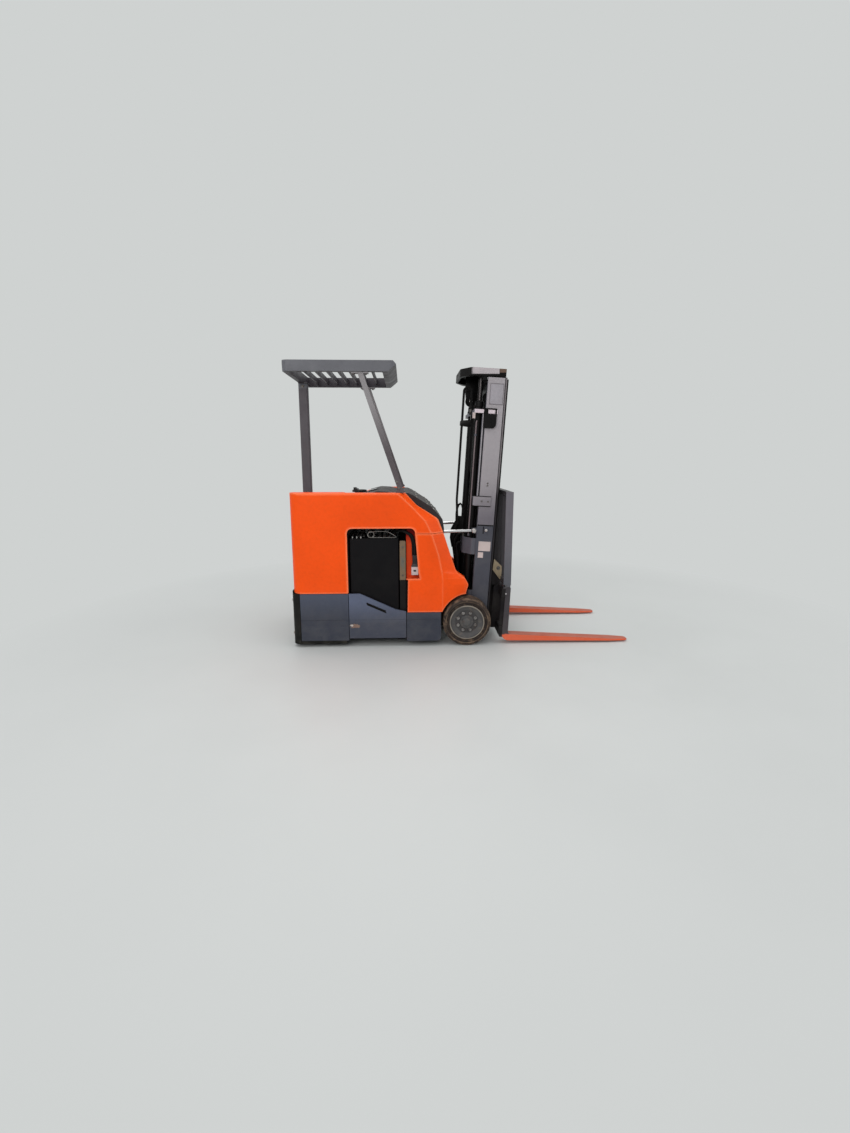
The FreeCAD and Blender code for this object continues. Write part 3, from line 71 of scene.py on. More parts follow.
class Look:
    """A material under construction: a Principled shader with helpers that add nodes in front of it."""

    def __init__(self, name, roughness=0.5, metallic=0.0):
        self.material = bpy.data.materials.new(name)
        self.material.use_nodes = True
        self.tree = self.material.node_tree
        self.shader = self.tree.nodes["Principled BSDF"]
        self.shader.inputs["Roughness"].default_value = roughness
        self.shader.inputs["Metallic"].default_value = metallic
        self.place = self.node("ShaderNodeTexCoord").outputs["Object"]
        self.heights = []

    def node(self, kind, **settings):
        made = self.tree.nodes.new(kind)
        for key, value in settings.items():
            setattr(made, key, value)
        return made

    def link(self, source, target):
        self.tree.links.new(source, target)

    def feed(self, target, value):
        """Sets an input from a number, a colour or another node's output."""
        if hasattr(value, "links"):
            self.link(value, target)
        else:
            target.default_value = value

    def stretched(self, scale):
        mapping = self.node("ShaderNodeMapping")
        self.link(self.place, mapping.inputs["Vector"])
        mapping.inputs["Scale"].default_value = scale
        return mapping.outputs["Vector"]

    def noise(self, scale, detail=4.0, roughness=0.55, stretch=None, distortion=0.0):
        made = self.node("ShaderNodeTexNoise")
        self.link(self.stretched(stretch) if stretch else self.place, made.inputs["Vector"])
        made.inputs["Scale"].default_value = scale
        made.inputs["Detail"].default_value = detail
        made.inputs["Roughness"].default_value = roughness
        made.inputs["Distortion"].default_value = distortion
        return made.outputs["Fac"]

    def cells(self, scale, feature="F1", stretch=None):
        made = self.node("ShaderNodeTexVoronoi", feature=feature)
        self.link(self.stretched(stretch) if stretch else self.place, made.inputs["Vector"])
        made.inputs["Scale"].default_value = scale
        return made.outputs["Distance"]

    def remap(self, value, low, high, to_low=0.0, to_high=1.0):
        made = self.node("ShaderNodeMapRange")
        self.link(value, made.inputs["Value"])
        made.inputs["From Min"].default_value = low
        made.inputs["From Max"].default_value = high
        made.inputs["To Min"].default_value = to_low
        made.inputs["To Max"].default_value = to_high
        return made.outputs["Result"]

    def math(self, operation, a, b=0.0):
        made = self.node("ShaderNodeMath", operation=operation)
        self.feed(made.inputs[0], a)
        self.feed(made.inputs[1], b)
        return made.outputs["Value"]

    def plus(self, a, b):
        return self.math("ADD", a, b)

    def minus(self, a, b):
        return self.math("SUBTRACT", a, b)

    def times(self, a, b):
        return self.math("MULTIPLY", a, b)

    def length(self, a, b):
        """Distance over two steps at right angles."""
        return self.math("SQRT", self.plus(self.times(a, a), self.times(b, b)))

    def away_from(self, value, middle):
        return self.math("ABSOLUTE", self.minus(value, middle))

    def axis(self, name):
        made = self.node("ShaderNodeSeparateXYZ")
        self.link(self.place, made.inputs["Vector"])
        return made.outputs[name]

    def normal_axis(self, name):
        made = self.node("ShaderNodeSeparateXYZ")
        self.link(self.node("ShaderNodeNewGeometry").outputs["Normal"], made.inputs["Vector"])
        return made.outputs[name]

    def radius_from(self, point):
        """Distance from a line along Y through that point."""
        return self.length(self.minus(self.axis("X"), point.x), self.minus(self.axis("Z"), point.z))

    def mix(self, factor, a, b):
        """Colour a where the factor is 0 and b where it is 1."""
        made = self.node("ShaderNodeMix", data_type="RGBA")
        self.feed(made.inputs[0], factor)
        self.feed(made.inputs[6], a)
        self.feed(made.inputs[7], b)
        return made.outputs[2]

    def colour(self, value):
        self.feed(self.shader.inputs["Base Color"], value)

    def rough(self, value):
        self.feed(self.shader.inputs["Roughness"], value)

    def bump(self, height, strength, distance=0.001):
        self.heights.append((height, strength, distance))

    def finish(self, edge=0.0):
        """Chains the bumps onto edges that a bevel shader rounds by that radius."""
        normal = None
        if edge:
            bevel = self.node("ShaderNodeBevel", samples=4)
            bevel.inputs["Radius"].default_value = edge
            normal = bevel.outputs["Normal"]
        for height, strength, distance in self.heights:
            made = self.node("ShaderNodeBump")
            made.inputs["Strength"].default_value = strength
            made.inputs["Distance"].default_value = distance
            self.link(height, made.inputs["Height"])
            if normal:
                self.link(normal, made.inputs["Normal"])
            normal = made.outputs["Normal"]
        if normal:
            self.link(normal, self.shader.inputs["Normal"])
        return self.material


def rgba(r, g, b):
    """A screen colour, 0 to 255, as the linear colour that a shader takes."""
    def linear(c):
        c = c / 255.0
        return c / 12.92 if c <= 0.04045 else ((c + 0.055) / 1.055) ** 2.4
    return (linear(r), linear(g), linear(b), 1.0)


DUST = rgba(150, 143, 132)
BLACK = rgba(0, 0, 0)


# Masks: each is a function that takes a Look and gives an output from 0 to 1

def rising(axis, start, end, rag=0.0):
    """Grows from 0 to 1 along an axis; rag makes its border wander by about that many metres."""
    def mask(look):
        value = look.axis(axis)
        if rag:
            value = look.plus(value, look.times(look.minus(look.noise(30, 6), 0.5), rag))
        return look.remap(value, start, end)
    return mask


def outwards(start, end):
    """Grows with the distance from the truck's middle plane."""
    return lambda look: look.remap(look.math("ABSOLUTE", look.axis("Y")), start, end)


def facing(axis, start, end):
    """Grows as the surface turns along an axis."""
    return lambda look: look.remap(look.normal_axis(axis), start, end)


def all_of(*masks):
    """1 where every mask is 1."""
    def mask(look):
        value = masks[0](look)
        for other in masks[1:]:
            value = look.times(value, other(look))
        return value
    return mask


def catching_light(radius):
    """The band along edges, as far from them as the radius, where a painted highlight goes."""
    def mask(look):
        bevel = look.node("ShaderNodeBevel", samples=4)
        bevel.inputs["Radius"].default_value = radius
        dot = look.node("ShaderNodeVectorMath", operation="DOT_PRODUCT")
        look.link(bevel.outputs["Normal"], dot.inputs[0])
        look.link(look.node("ShaderNodeNewGeometry").outputs["True Normal"], dot.inputs[1])
        return look.remap(dot.outputs["Value"], 0.994, 0.955, 0, 0.7)
    return mask


def spot(x, z, wide, tall, grain=60.0):
    """A ragged patch round a line along Y."""
    def mask(look):
        across = look.math("DIVIDE", look.minus(look.axis("X"), x), wide)
        up = look.math("DIVIDE", look.minus(look.axis("Z"), z), tall)
        square = look.plus(look.times(across, across), look.times(up, up))
        torn = look.plus(square, look.remap(look.noise(grain, 6, 0.7), 0.3, 0.7, -0.9, 0.9))
        return look.remap(torn, 0.75, 0.45)
    return mask


def paint(name, colour, chip, roughness=0.45, wear=0.5, dust=0.1, low_z=0.0, high_z=1.6, edge=0.002,
          shine=0.3,
          parts=()):
    """Worn paint: mottled colour, dust that thickens from high_z down to low_z, hairline scratches and small
    chips in the colour chip. The edges look rounded by the radius edge. Each of parts is (mask, colour): that
    colour takes the main one's place where the mask is 1."""
    look = Look(name, roughness)
    base = colour
    for mask, other in parts:
        base = look.mix(mask(look), base, other)
    base = look.mix(look.remap(look.noise(2.3), 0.35, 0.7, 0, 0.12), base, BLACK)
    base = look.mix(look.remap(look.noise(38, 6), 0.45, 0.75, 0, 0.07), base, BLACK)
    depth = look.remap(look.axis("Z"), low_z, high_z, 1.0, 0.0)
    grime = look.times(look.remap(look.noise(6, 8, 0.65, distortion=0.4), 0.42, 0.72), depth)
    base = look.mix(look.times(grime, dust), base, DUST)
    lines = look.remap(look.noise(9, 3, 0.6, stretch=(1.5, 1.5, 22), distortion=0.2), 0.665, 0.70)
    fine = look.remap(look.noise(14, 2, 0.5, stretch=(1.2, 1.2, 34)), 0.70, 0.73)
    marks = look.times(look.math("MAXIMUM", lines, fine), look.remap(look.noise(3.1), 0.5, 0.65))
    base = look.mix(look.times(marks, 0.35 * wear), base, chip)
    specks = look.remap(look.cells(46), 0.06, 0.035)
    specks = look.times(specks, look.remap(look.noise(5.0), 0.58, 0.66))
    base = look.mix(look.times(specks, wear), base, chip)
    look.colour(base)
    look.rough(look.remap(look.noise(11, 5), 0.3, 0.75, roughness - 0.08, roughness + 0.16))
    look.shader.inputs["Specular IOR Level"].default_value = shine
    look.bump(look.noise(160, 2), 0.06, 0.0006)
    look.bump(look.noise(4.0, 2), 0.12, 0.004)
    return look.finish(edge)


def plastic(name, colour, roughness=0.5, grain=420.0, edge=0.003, dust=0.2, shine=0.35, parts=()):
    """Plastic or rubber in fine grain, with a film of dust on what faces up; parts is as in paint."""
    look = Look(name, roughness)
    base = colour
    for mask, other in parts:
        base = look.mix(mask(look), base, other)
    base = look.mix(look.remap(look.noise(5, 5), 0.4, 0.7, 0, 0.2), base, BLACK)
    film = look.times(look.remap(look.normal_axis("Z"), 0.2, 1.0), look.remap(look.noise(7, 7), 0.35, 0.7))
    look.colour(look.mix(look.times(film, dust), base, DUST))
    look.rough(look.remap(look.noise(13, 5), 0.3, 0.7, roughness - 0.06, roughness + 0.12))
    look.shader.inputs["Specular IOR Level"].default_value = shine
    look.bump(look.cells(grain), 0.15, 0.0004)
    return look.finish(edge)


def metal(name, colour, roughness, stretch=(1, 1, 1), edge=0.001, stain=None):
    """Bare metal in two tones, brushed along the axis that stretch enlarges, with stains."""
    look = Look(name, roughness, 1.0)
    base = look.mix(look.remap(look.noise(6, 6), 0.4, 0.7), colour,
                    tuple(c * 0.75 for c in colour[:3]) + (1,))
    if stain:
        base = look.mix(look.remap(look.noise(19, 7, 0.7), 0.5, 0.72, 0, 0.8), base, stain)
    look.colour(base)
    look.rough(look.remap(look.noise(60, 4, stretch=stretch), 0.3, 0.7, roughness * 0.8, roughness * 1.4))
    look.bump(look.noise(220, 2, stretch=stretch), 0.08, 0.0003)
    return look.finish(edge)


def tyre_rubber(name, hub, radius, groove):
    """Solid rubber: dusty brown sidewall with moulded rings dark in their groove, a pale ring near the outer
    edge and a paler tread edge that are painted highlight, the tread edge partly wear too, cracks and nicks.
    """
    look = Look(name, 0.85)
    r = look.radius_from(hub)
    dark, brown, pale = rgba(28, 23, 22), rgba(57, 47, 42), rgba(126, 104, 84)
    base = look.mix(look.remap(look.noise(9, 8, 0.65), 0.35, 0.7), brown, dark)
    base = look.mix(look.remap(look.noise(26, 8, 0.7), 0.52, 0.7, 0, 0.75), base, pale)
    ring = look.remap(look.away_from(r, groove), 0.004, 0.0015)
    base = look.mix(look.times(ring, 0.8), base, dark)
    # A pale ring near the outer edge: a painted highlight.
    shoulder_highlight = look.remap(look.away_from(r, radius - 0.026), 0.006, 0.002)
    base = look.mix(look.times(shoulder_highlight, look.remap(look.noise(7, 5), 0.4, 0.6, 0.1, 0.55)), base, pale)
    # The tread edge turns paler: partly wear, partly a painted highlight.
    worn_edge_and_highlight = look.times(look.remap(r, radius - 0.016, radius - 0.003), look.remap(look.noise(22, 6), 0.4, 0.6))
    base = look.mix(look.times(worn_edge_and_highlight, 0.55), base, pale)
    look.colour(base)
    look.rough(look.remap(look.noise(20, 4), 0.3, 0.7, 0.72, 0.95))
    look.shader.inputs["Specular IOR Level"].default_value = 0.25
    cracks = look.remap(look.cells(70, "DISTANCE_TO_EDGE", (1, 0.35, 1)), 0.0, 0.05)
    look.bump(cracks, 0.25, 0.001)
    look.bump(look.noise(90, 6, 0.7), 0.45, 0.0015)
    look.bump(look.times(ring, -1.0), 0.8, 0.004)
    return look.finish(0.004)


def wheel_paint(name, hub, lip):
    """Dusty grey wheel paint, darker round the nuts as painted shade in their recess, with a painted
    highlight on the rim's lip.
    """
    look = Look(name, 0.6)
    r = look.radius_from(hub)
    base = look.mix(look.remap(look.noise(8, 7, 0.65), 0.35, 0.7), rgba(82, 80, 79), rgba(66, 64, 65))
    base = look.mix(look.remap(look.noise(26, 7, 0.7), 0.52, 0.7, 0, 0.6), base, rgba(104, 95, 84))
    # Painted shade in the recess round the nuts.
    shaded_well = look.times(look.remap(r, 0.055, 0.062), look.remap(r, 0.104, 0.094))
    base = look.mix(look.times(shaded_well, 0.45), base, rgba(36, 33, 34))
    rust = look.times(look.remap(look.noise(15, 8, 0.7), 0.58, 0.7), 0.6)
    base = look.mix(rust, base, rgba(88, 66, 50))
    # A painted highlight on the rim's lip.
    bright = look.times(look.remap(r, lip - 0.011, lip - 0.007), look.remap(look.noise(5, 3), 0.35, 0.55))
    base = look.mix(look.times(bright, 0.75), base, rgba(148, 138, 124))
    look.colour(base)
    look.shader.inputs["Specular IOR Level"].default_value = 0.3
    look.bump(look.noise(70, 6, 0.7), 0.3, 0.001)
    return look.finish(0.002)


ORANGE = rgba(243, 80, 10)
SKIRT = rgba(52, 55, 66)
SCUFF = rgba(128, 104, 92)
STAIN = rgba(96, 76, 58)

# Painted shade in the battery pockets: a darker orange that turns dark red towards their tops, on the plates
# at their backs too, and on their faces that look to the rear.
pocket_shade = all_of(outwards(0.4972, 0.4965), rising("X", -0.497, -0.495), rising("X", -0.360, -0.362),
                rising("Z", 0.560, 0.565), rising("Z", 1.030, 1.028))
# The salmon band along the orange panels' edges is a painted highlight.
orange_paint = paint("orange_paint", ORANGE, roughness=0.40, wear=0.25, dust=0.04, low_z=0.25, high_z=0.6,
                     edge=0.006, chip=rgba(150, 60, 30), shine=0.15,
                     parts=[(catching_light(0.024), rgba(255, 138, 92)), (pocket_shade, rgba(214, 66, 18)),
                            (all_of(pocket_shade, rising("Z", 0.88, 0.97)), rgba(140, 12, 8)),
                            (all_of(pocket_shade, facing("X", -0.5, -0.8)), rgba(120, 8, 4))])
# A lighter orange for the rolled edges round the battery openings: a painted highlight along them.
edge_highlight_paint = paint("edge_highlight_paint", rgba(255, 122, 72), roughness=0.35, wear=0.2, dust=0.0, low_z=0.25,
                   high_z=0.6,
                   edge=0.0, chip=rgba(190, 80, 40))

gate_part = all_of(rising("X", -0.985, -0.975), rising("X", -0.490, -0.497))
# The skirts and gates are painted lighter and bluer on their upper parts: painted light from above.
skirt_paint = paint("skirt_paint", SKIRT, roughness=0.5, wear=0.9, dust=0.14, high_z=0.5, edge=0.004,
                    chip=rgba(124, 130, 138),
                    parts=[(rising("Z", 0.24, 0.44, 0.02), rgba(70, 75, 90)), (gate_part, rgba(64, 67, 79)),
                           (all_of(gate_part, rising("Z", 0.20, 0.40, 0.03)), rgba(88, 95, 116)),
                           (spot(-0.93, 0.185, 0.055, 0.020), SCUFF),
                           (spot(-0.955, 0.190, 0.016, 0.010, 90), rgba(196, 184, 176))])
frame_paint = paint("frame_paint", rgba(13, 12, 12), roughness=0.55, high_z=0.5, edge=0.003,
                    chip=rgba(90, 82, 76), shine=0.2,
                    parts=[(all_of(outwards(0.484, 0.487), rising("Z", 0.305, 0.300)), rgba(44, 46, 54))])
bumper_paint = paint("bumper_paint", rgba(20, 19, 17), roughness=0.55, wear=0.6, dust=0.12, high_z=0.5,
                     edge=0.004, chip=rgba(84, 78, 70), shine=0.15)

# Painted shade: the guard's downward faces, the inner faces of its rails and the downward faces of the post
# flanges under it are darker.
guard_under_shade = all_of(rising("Z", 2.20, 2.21), facing("Z", -0.3, -0.6))
guard_inside_shade = all_of(rising("Z", 2.235, 2.240), outwards(0.4552, 0.4545))
post_flange_shade = all_of(rising("Z", 2.1, 2.2), facing("Z", -0.3, -0.6))
guard_paint = paint("guard_paint", rgba(95, 95, 100), wear=0.4, high_z=2.4, edge=0.004, chip=rgba(64, 60, 58),
                    parts=[(guard_under_shade, rgba(46, 43, 48)), (guard_inside_shade, rgba(56, 52, 58)),
                           (rising("Z", 2.20, 2.19), rgba(79, 74, 78))])
post_paint = paint("post_paint", rgba(132, 128, 129), wear=0.4, high_z=2.4, edge=0.004, chip=rgba(64, 60, 58),
                   parts=[(rising("Z", 2.02, 1.62), rgba(84, 76, 79)), (post_flange_shade, rgba(60, 56, 60))])

rail_face = outwards(0.3370, 0.3385)
hose_clip_face = all_of(outwards(0.3415, 0.3425), rising("Z", 1.90, 1.91))
# On the rails' outer faces the colour steps up at Z 1.015, the rail's two-tone paint, and then lightens
# further up to Z 1.42: a painted reflection of a bright wall.
mast_paint = paint("mast_paint", rgba(82, 82, 90), wear=0.7, dust=0.12, chip=rgba(54, 50, 48),
                   parts=[(rail_face, rgba(70, 71, 80)),
                          (all_of(rail_face, rising("Z", 1.014, 1.017)), rgba(110, 105, 112)),
                          (all_of(rail_face, rising("Z", 1.08, 1.42)), rgba(156, 150, 153)),
                          (hose_clip_face, rgba(206, 192, 197))])
# On the middle stage the outer faces lighten from Z 1.25 to 1.45 as a painted reflection, and a light band on
# the near-black cap's face is a painted highlight.
cap_face = outwards(0.325, 0.335)
cap_highlight = all_of(rising("X", 0.045, 0.070, 0.02), rising("X", 0.281, 0.277), rising("Z", 2.253, 2.258),
                   cap_face)
cap_end = all_of(rising("X", 0.277, 0.285), rising("Z", 2.262, 2.268), cap_face)
stage_paint = paint("stage_paint", rgba(52, 48, 51), wear=0.6, dust=0.06, chip=rgba(90, 84, 80), shine=0.12,
                    parts=[(all_of(rising("Z", 1.25, 1.45), outwards(0.300, 0.306)), rgba(126, 119, 121)),
                           (rising("Z", 2.222, 2.226), rgba(10, 7, 7)), (cap_end, rgba(104, 84, 72)),
                           (cap_highlight, rgba(178, 170, 172))])
black_paint = paint("black_paint", rgba(12, 10, 10), roughness=0.4, dust=0.03, chip=rgba(70, 62, 60),
                    shine=0.14)

carriage_paint = paint("carriage_paint", rgba(22, 19, 21), roughness=0.5, wear=0.7, dust=0.08, high_z=1.0,
                       chip=rgba(96, 86, 80), shine=0.15)
plate_face = outwards(0.4715, 0.4725)
backrest_paint = paint("backrest_paint", rgba(50, 47, 50), wear=0.8, high_z=1.4, chip=rgba(130, 126, 122),
                       parts=[(plate_face, rgba(104, 100, 106)),
                              (all_of(plate_face, rising("Z", 0.95, 0.62)), rgba(82, 82, 88))])
bare_shank = all_of(rising("Z", 0.078, 0.090, 0.03), rising("X", 0.43, 0.41, 0.03))
# Painted light on the forks: faces that look up are darker, painted shade; the part behind the carriage's
# front face is near black, painted shade between the carriage's plates; a small pale spot on the shank is a
# painted highlight.
fork_paint = paint("fork_paint", rgba(222, 98, 63), wear=1.0, dust=0.12, high_z=0.4, chip=rgba(104, 78, 66),
                   parts=[(facing("Z", 0.5, 0.8), rgba(168, 84, 62)), (bare_shank, rgba(62, 57, 60)),
                          (rising("X", 0.338, 0.334), rgba(30, 26, 28)),
                          (spot(0.352, 0.445, 0.020, 0.006, 80), rgba(206, 200, 200))])
battery_paint = paint("battery_paint", rgba(10, 8, 11), roughness=0.5, wear=0.35, dust=0.03, high_z=1.0,
                      edge=0.003, chip=rgba(48, 46, 48), shine=0.13)
retainer_paint = paint("retainer_paint", rgba(116, 97, 76), roughness=0.6, wear=1.0, dust=0.12, high_z=1.0,
                       chip=rgba(78, 60, 46), shine=0.25,
                       parts=[(spot(-0.52, 0.72, 0.02, 0.07, 24), rgba(106, 100, 88))])
tan_paint = paint("tan_paint", rgba(132, 118, 96), roughness=0.6, wear=0.9, dust=0.3, high_z=1.0,
                  chip=rgba(80, 62, 46), shine=0.25)

cover_plastic = plastic("cover_plastic", rgba(46, 40, 41), dust=0.05, shine=0.2)
console_plastic = plastic("console_plastic", rgba(38, 32, 34), dust=0.08, shine=0.25)
control_plastic = plastic("control_plastic", rgba(20, 19, 20), roughness=0.42, grain=300)
plug_plastic = plastic("plug_plastic", rgba(58, 54, 56), roughness=0.45, grain=500,
                       parts=[(rising("Z", 0.693, 0.691), rgba(190, 172, 170))])
rubber = plastic("black_rubber", rgba(14, 12, 12), roughness=0.7, grain=350, edge=0.001, dust=0.06,
                 shine=0.18)
vinyl = plastic("pad_vinyl", rgba(34, 34, 36), roughness=0.48, grain=700, edge=0.0, dust=0.12)

chrome = metal("chrome", (0.70, 0.69, 0.70, 1), 0.12)
rod_steel = metal("rod_steel", (0.05, 0.045, 0.045, 1), 0.28)
steel = metal("bare_steel", (0.42, 0.41, 0.40, 1), 0.34, stretch=(1, 1, 8), stain=STAIN)
wire_steel = metal("wire_steel", (0.26, 0.25, 0.24, 1), 0.45, edge=0.0, stain=STAIN)
zinc = metal("zinc_bolt", (0.42, 0.41, 0.38, 1), 0.36, edge=0.0006, stain=rgba(100, 84, 62))
dark_steel = metal("dark_steel", (0.17, 0.16, 0.15, 1), 0.42, edge=0.0006, stain=rgba(88, 70, 54))
oiled_steel = metal("oiled_steel", (0.10, 0.095, 0.085, 1), 0.36, edge=0.0005, stain=rgba(70, 58, 44))

drive_tyre = tyre_rubber("drive_tyre", axle, axle.z, groove=0.172)
steer_middle = centre("steer_tyres")
steer_tyre = tyre_rubber("steer_tyre", steer_middle, steer_middle.z, groove=0.108)
wheel_disc = wheel_paint("wheel_disc", axle, lip=0.149)
steer_disc = wheel_paint("steer_disc", steer_middle, lip=0.072)

blank_label = plastic("blank_label", rgba(196, 180, 176), grain=900, edge=0.0, dust=0.1)
faint_label = plastic("faint_label", rgba(150, 145, 150), grain=900, edge=0.0, dust=0.1)
label_edge = plastic("label_edge", rgba(112, 106, 110), grain=900, edge=0.0, dust=0.1)
# The pipes along the lift cylinders are pale so that they stand in for a painted highlight streak on the
# cylinders.
highlight_pipe_paint = plastic("highlight_pipe_paint", rgba(112, 98, 100), roughness=0.35, grain=900, edge=0.0, dust=0.05)
nut_steel = metal("nut_steel", (0.36, 0.34, 0.33, 1), 0.4, edge=0.0006, stain=rgba(80, 64, 50))
bright_pin = metal("bright_pin", (0.62, 0.58, 0.56, 1), 0.35, edge=0.0006)
thread = plastic("thread", rgba(70, 70, 72), roughness=0.7, grain=900, edge=0.0, dust=0.0)
display_glass = plastic("display_glass", rgba(18, 24, 26), roughness=0.12, grain=900, edge=0.0, dust=0.1)
stop_red = plastic("stop_red", rgba(190, 32, 24), roughness=0.38, grain=600, edge=0.0, dust=0.1)

FINISH = {
    orange_paint: ["side_panel_right", "side_panel_left", "fender_right", "fender_left"],
    skirt_paint: ["rear_skirts", "front_skirts", "battery_gate_right", "battery_gate_left"],
    frame_paint: ["chassis_frame", "step_floor", "drive_axle", "tilt_anchors", "steer_yoke"],
    bumper_paint: ["rear_bumper"],
    guard_paint: ["overhead_guard", "rear_post"],
    post_paint: ["front_posts"],
    mast_paint: ["mast_outer_stage"],
    stage_paint: ["mast_middle_stage"],
    black_paint: ["mast_inner_stage", "lift_cylinders", "free_lift_cylinder", "tilt_cylinders"],
    carriage_paint: ["carriage"],
    backrest_paint: ["load_backrest"],
    fork_paint: ["fork_right", "fork_left"],
    battery_paint: ["battery"],
    retainer_paint: ["battery_retainers"],
    cover_plastic: ["hood"],
    console_plastic: ["console"],
    control_plastic: ["steering_tiller", "control_handle"],
    plug_plastic: ["cable_plug"],
    rubber: ["battery_lead", "floor_mat", "mast_hoses"],
    vinyl: ["knee_pad"],
    chrome: ["tilt_rods"],
    rod_steel: ["lift_rods"],
    steel: ["free_lift_head"],
    oiled_steel: ["lift_chains"],
    drive_tyre: ["tyre_right", "tyre_left"],
    steer_tyre: ["steer_tyres"],
    wheel_disc: ["wheel_hub_right", "wheel_hub_left"],
    steer_disc: ["steer_hubs"],
}
for material, names in FINISH.items():
    for name in names:
        mesh = nodes[name].data
        mesh.materials.clear()
        mesh.materials.append(material)


# Detail pieces

def angles(count, start=0.0):
    """Evenly round a full turn."""
    return [2 * math.pi * i / count + start for i in range(count)]


class Form:
    """A piece built up from simple forms. Its numbers are metres in the frame `at`, truck's or mast's."""

    def __init__(self, at=WORLD):
        self.mesh = bmesh.new()
        self.at = at

    def take(self, made, turn=Matrix()):
        made.transform(turn)
        kept = bpy.data.meshes.new("part")
        made.to_mesh(kept)
        made.free()
        self.mesh.from_mesh(kept)
        bpy.data.meshes.remove(kept)

    def block(self, low, high, edge=0.002, steps=2, turn=Matrix()):
        """A box with rounded edges."""
        made = bmesh.new()
        bmesh.ops.create_cube(made, size=1.0)
        low, high = Vector(low), Vector(high)
        for vert in made.verts:
            vert.co = Vector([low[i] + (high[i] - low[i]) * (vert.co[i] + 0.5) for i in range(3)])
        if edge:
            bmesh.ops.bevel(made, geom=made.edges[:], offset=edge, segments=steps, profile=0.5,
                            affect="EDGES")
        self.take(made, turn)

    def prism(self, outline, low_y, high_y, edge=0.0):
        """An outline of (x, z) points drawn out along Y."""
        made = bmesh.new()
        face = made.faces.new([made.verts.new((x, low_y, z)) for x, z in outline])
        moved = bmesh.ops.extrude_face_region(made, geom=[face])["geom"]
        bmesh.ops.translate(made, vec=(0, high_y - low_y, 0),
                            verts=[v for v in moved if isinstance(v, bmesh.types.BMVert)])
        bmesh.ops.recalc_face_normals(made, faces=made.faces)
        if edge:
            sharp = [e for e in made.edges if e.calc_face_angle(0) > 0.5]
            bmesh.ops.bevel(made, geom=sharp, offset=edge, segments=2, profile=0.5, affect="EDGES")
        self.take(made)

    def lathe(self, foot, axis, profile, sides=24):
        """Turned about an axis through foot; the profile is (radius, height) from its foot to its end."""
        made = bmesh.new()
        rings = []
        for radius, height in profile:
            if radius < 1e-6:
                rings.append([made.verts.new((0, 0, height))])
                continue
            rings.append([made.verts.new((radius * math.cos(a), radius * math.sin(a), height))
                          for a in angles(sides)])
        for lower, upper in zip(rings, rings[1:]):
            for i in range(sides):
                ring = [lower[i % len(lower)], lower[(i + 1) % len(lower)], upper[(i + 1) % len(upper)],
                        upper[i % len(upper)]]
                corners = list(dict.fromkeys(ring))
                if len(corners) > 2:
                    made.faces.new(corners)
        for ring in (rings[0], rings[-1]):
            if len(ring) > 2:
                made.faces.new(ring)
        bmesh.ops.recalc_face_normals(made, faces=made.faces)
        turn = Matrix.Translation(foot) @ Vector((0, 0,
                                                  1)).rotation_difference(Vector(axis)).to_matrix().to_4x4()
        self.take(made, turn)

    def tube(self, points, radius, sides=10, bumps=0.0):
        """A round bar through points; bumps makes it a weld bead."""
        made = bmesh.new()
        points = [Vector(p) for p in points]
        across = None
        rings = []
        for i, point in enumerate(points):
            ahead = (points[min(i + 1, len(points) - 1)] - points[max(i - 1, 0)]).normalized()
            across = across - ahead * across.dot(ahead) if across else ahead.orthogonal()
            across.normalize()
            other = ahead.cross(across)
            size = radius * (1 + bumps * math.sin(i * 2.4))
            rings.append([made.verts.new(point + size * (across * math.cos(a) + other * math.sin(a)))
                          for a in angles(sides)])
        for lower, upper in zip(rings, rings[1:]):
            for k in range(sides):
                made.faces.new((lower[k], lower[(k + 1) % sides], upper[(k + 1) % sides], upper[k]))
        made.faces.new(rings[0][::-1])
        made.faces.new(rings[-1])
        bmesh.ops.recalc_face_normals(made, faces=made.faces)
        self.take(made)

    def bead(self, start, end, radius=0.003):
        """A weld bead from start to end."""
        start, end = Vector(start), Vector(end)
        count = max(4, int((end - start).length / (radius * 0.8)))
        self.tube([start.lerp(end, i / count) for i in range(count + 1)], radius, 7, 0.16)

    def bolt(self, foot, axis, size=0.010, washer=True):
        """A hexagon head on a washer; size is the head's radius."""
        axis = Vector(axis).normalized()
        foot = Vector(foot)
        if washer:
            self.lathe(foot, axis, [(size * 1.35, 0), (size * 1.35, size * 0.16),
                                    (size * 1.28, size * 0.22)], 18)
        tall = size * 0.85
        base = size * 0.2 if washer else 0
        self.lathe(foot + axis * base, axis, [(size, 0), (size, tall * 0.86), (size * 0.86, tall)], 6)

    def screw(self, foot, axis, size=0.008):
        """A button head with a socket."""
        self.lathe(foot, axis, [(size, 0), (size, size * 0.2), (size * 0.82, size * 0.5),
                                (size * 0.45, size * 0.62), (size * 0.4, size * 0.25), (0, size * 0.25)], 18)

    def done(self, name, material, body, slot, smooth=32):
        """Makes the form a piece that rides on a body. Faces that meet below `smooth` degrees look smooth."""
        self.mesh.transform(self.at)
        mesh = bpy.data.meshes.new(name)
        self.mesh.to_mesh(mesh)
        self.mesh.free()
        for polygon in mesh.polygons:
            polygon.use_smooth = True
        mesh.set_sharp_from_angle(angle=math.radians(smooth))
        mesh.materials.append(material)
        piece = bpy.data.objects.new(name, mesh)
        bpy.context.scene.collection.objects.link(piece)
        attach(piece, body)
        return piece


SIDES = (("right", RIGHT), ("left", LEFT))


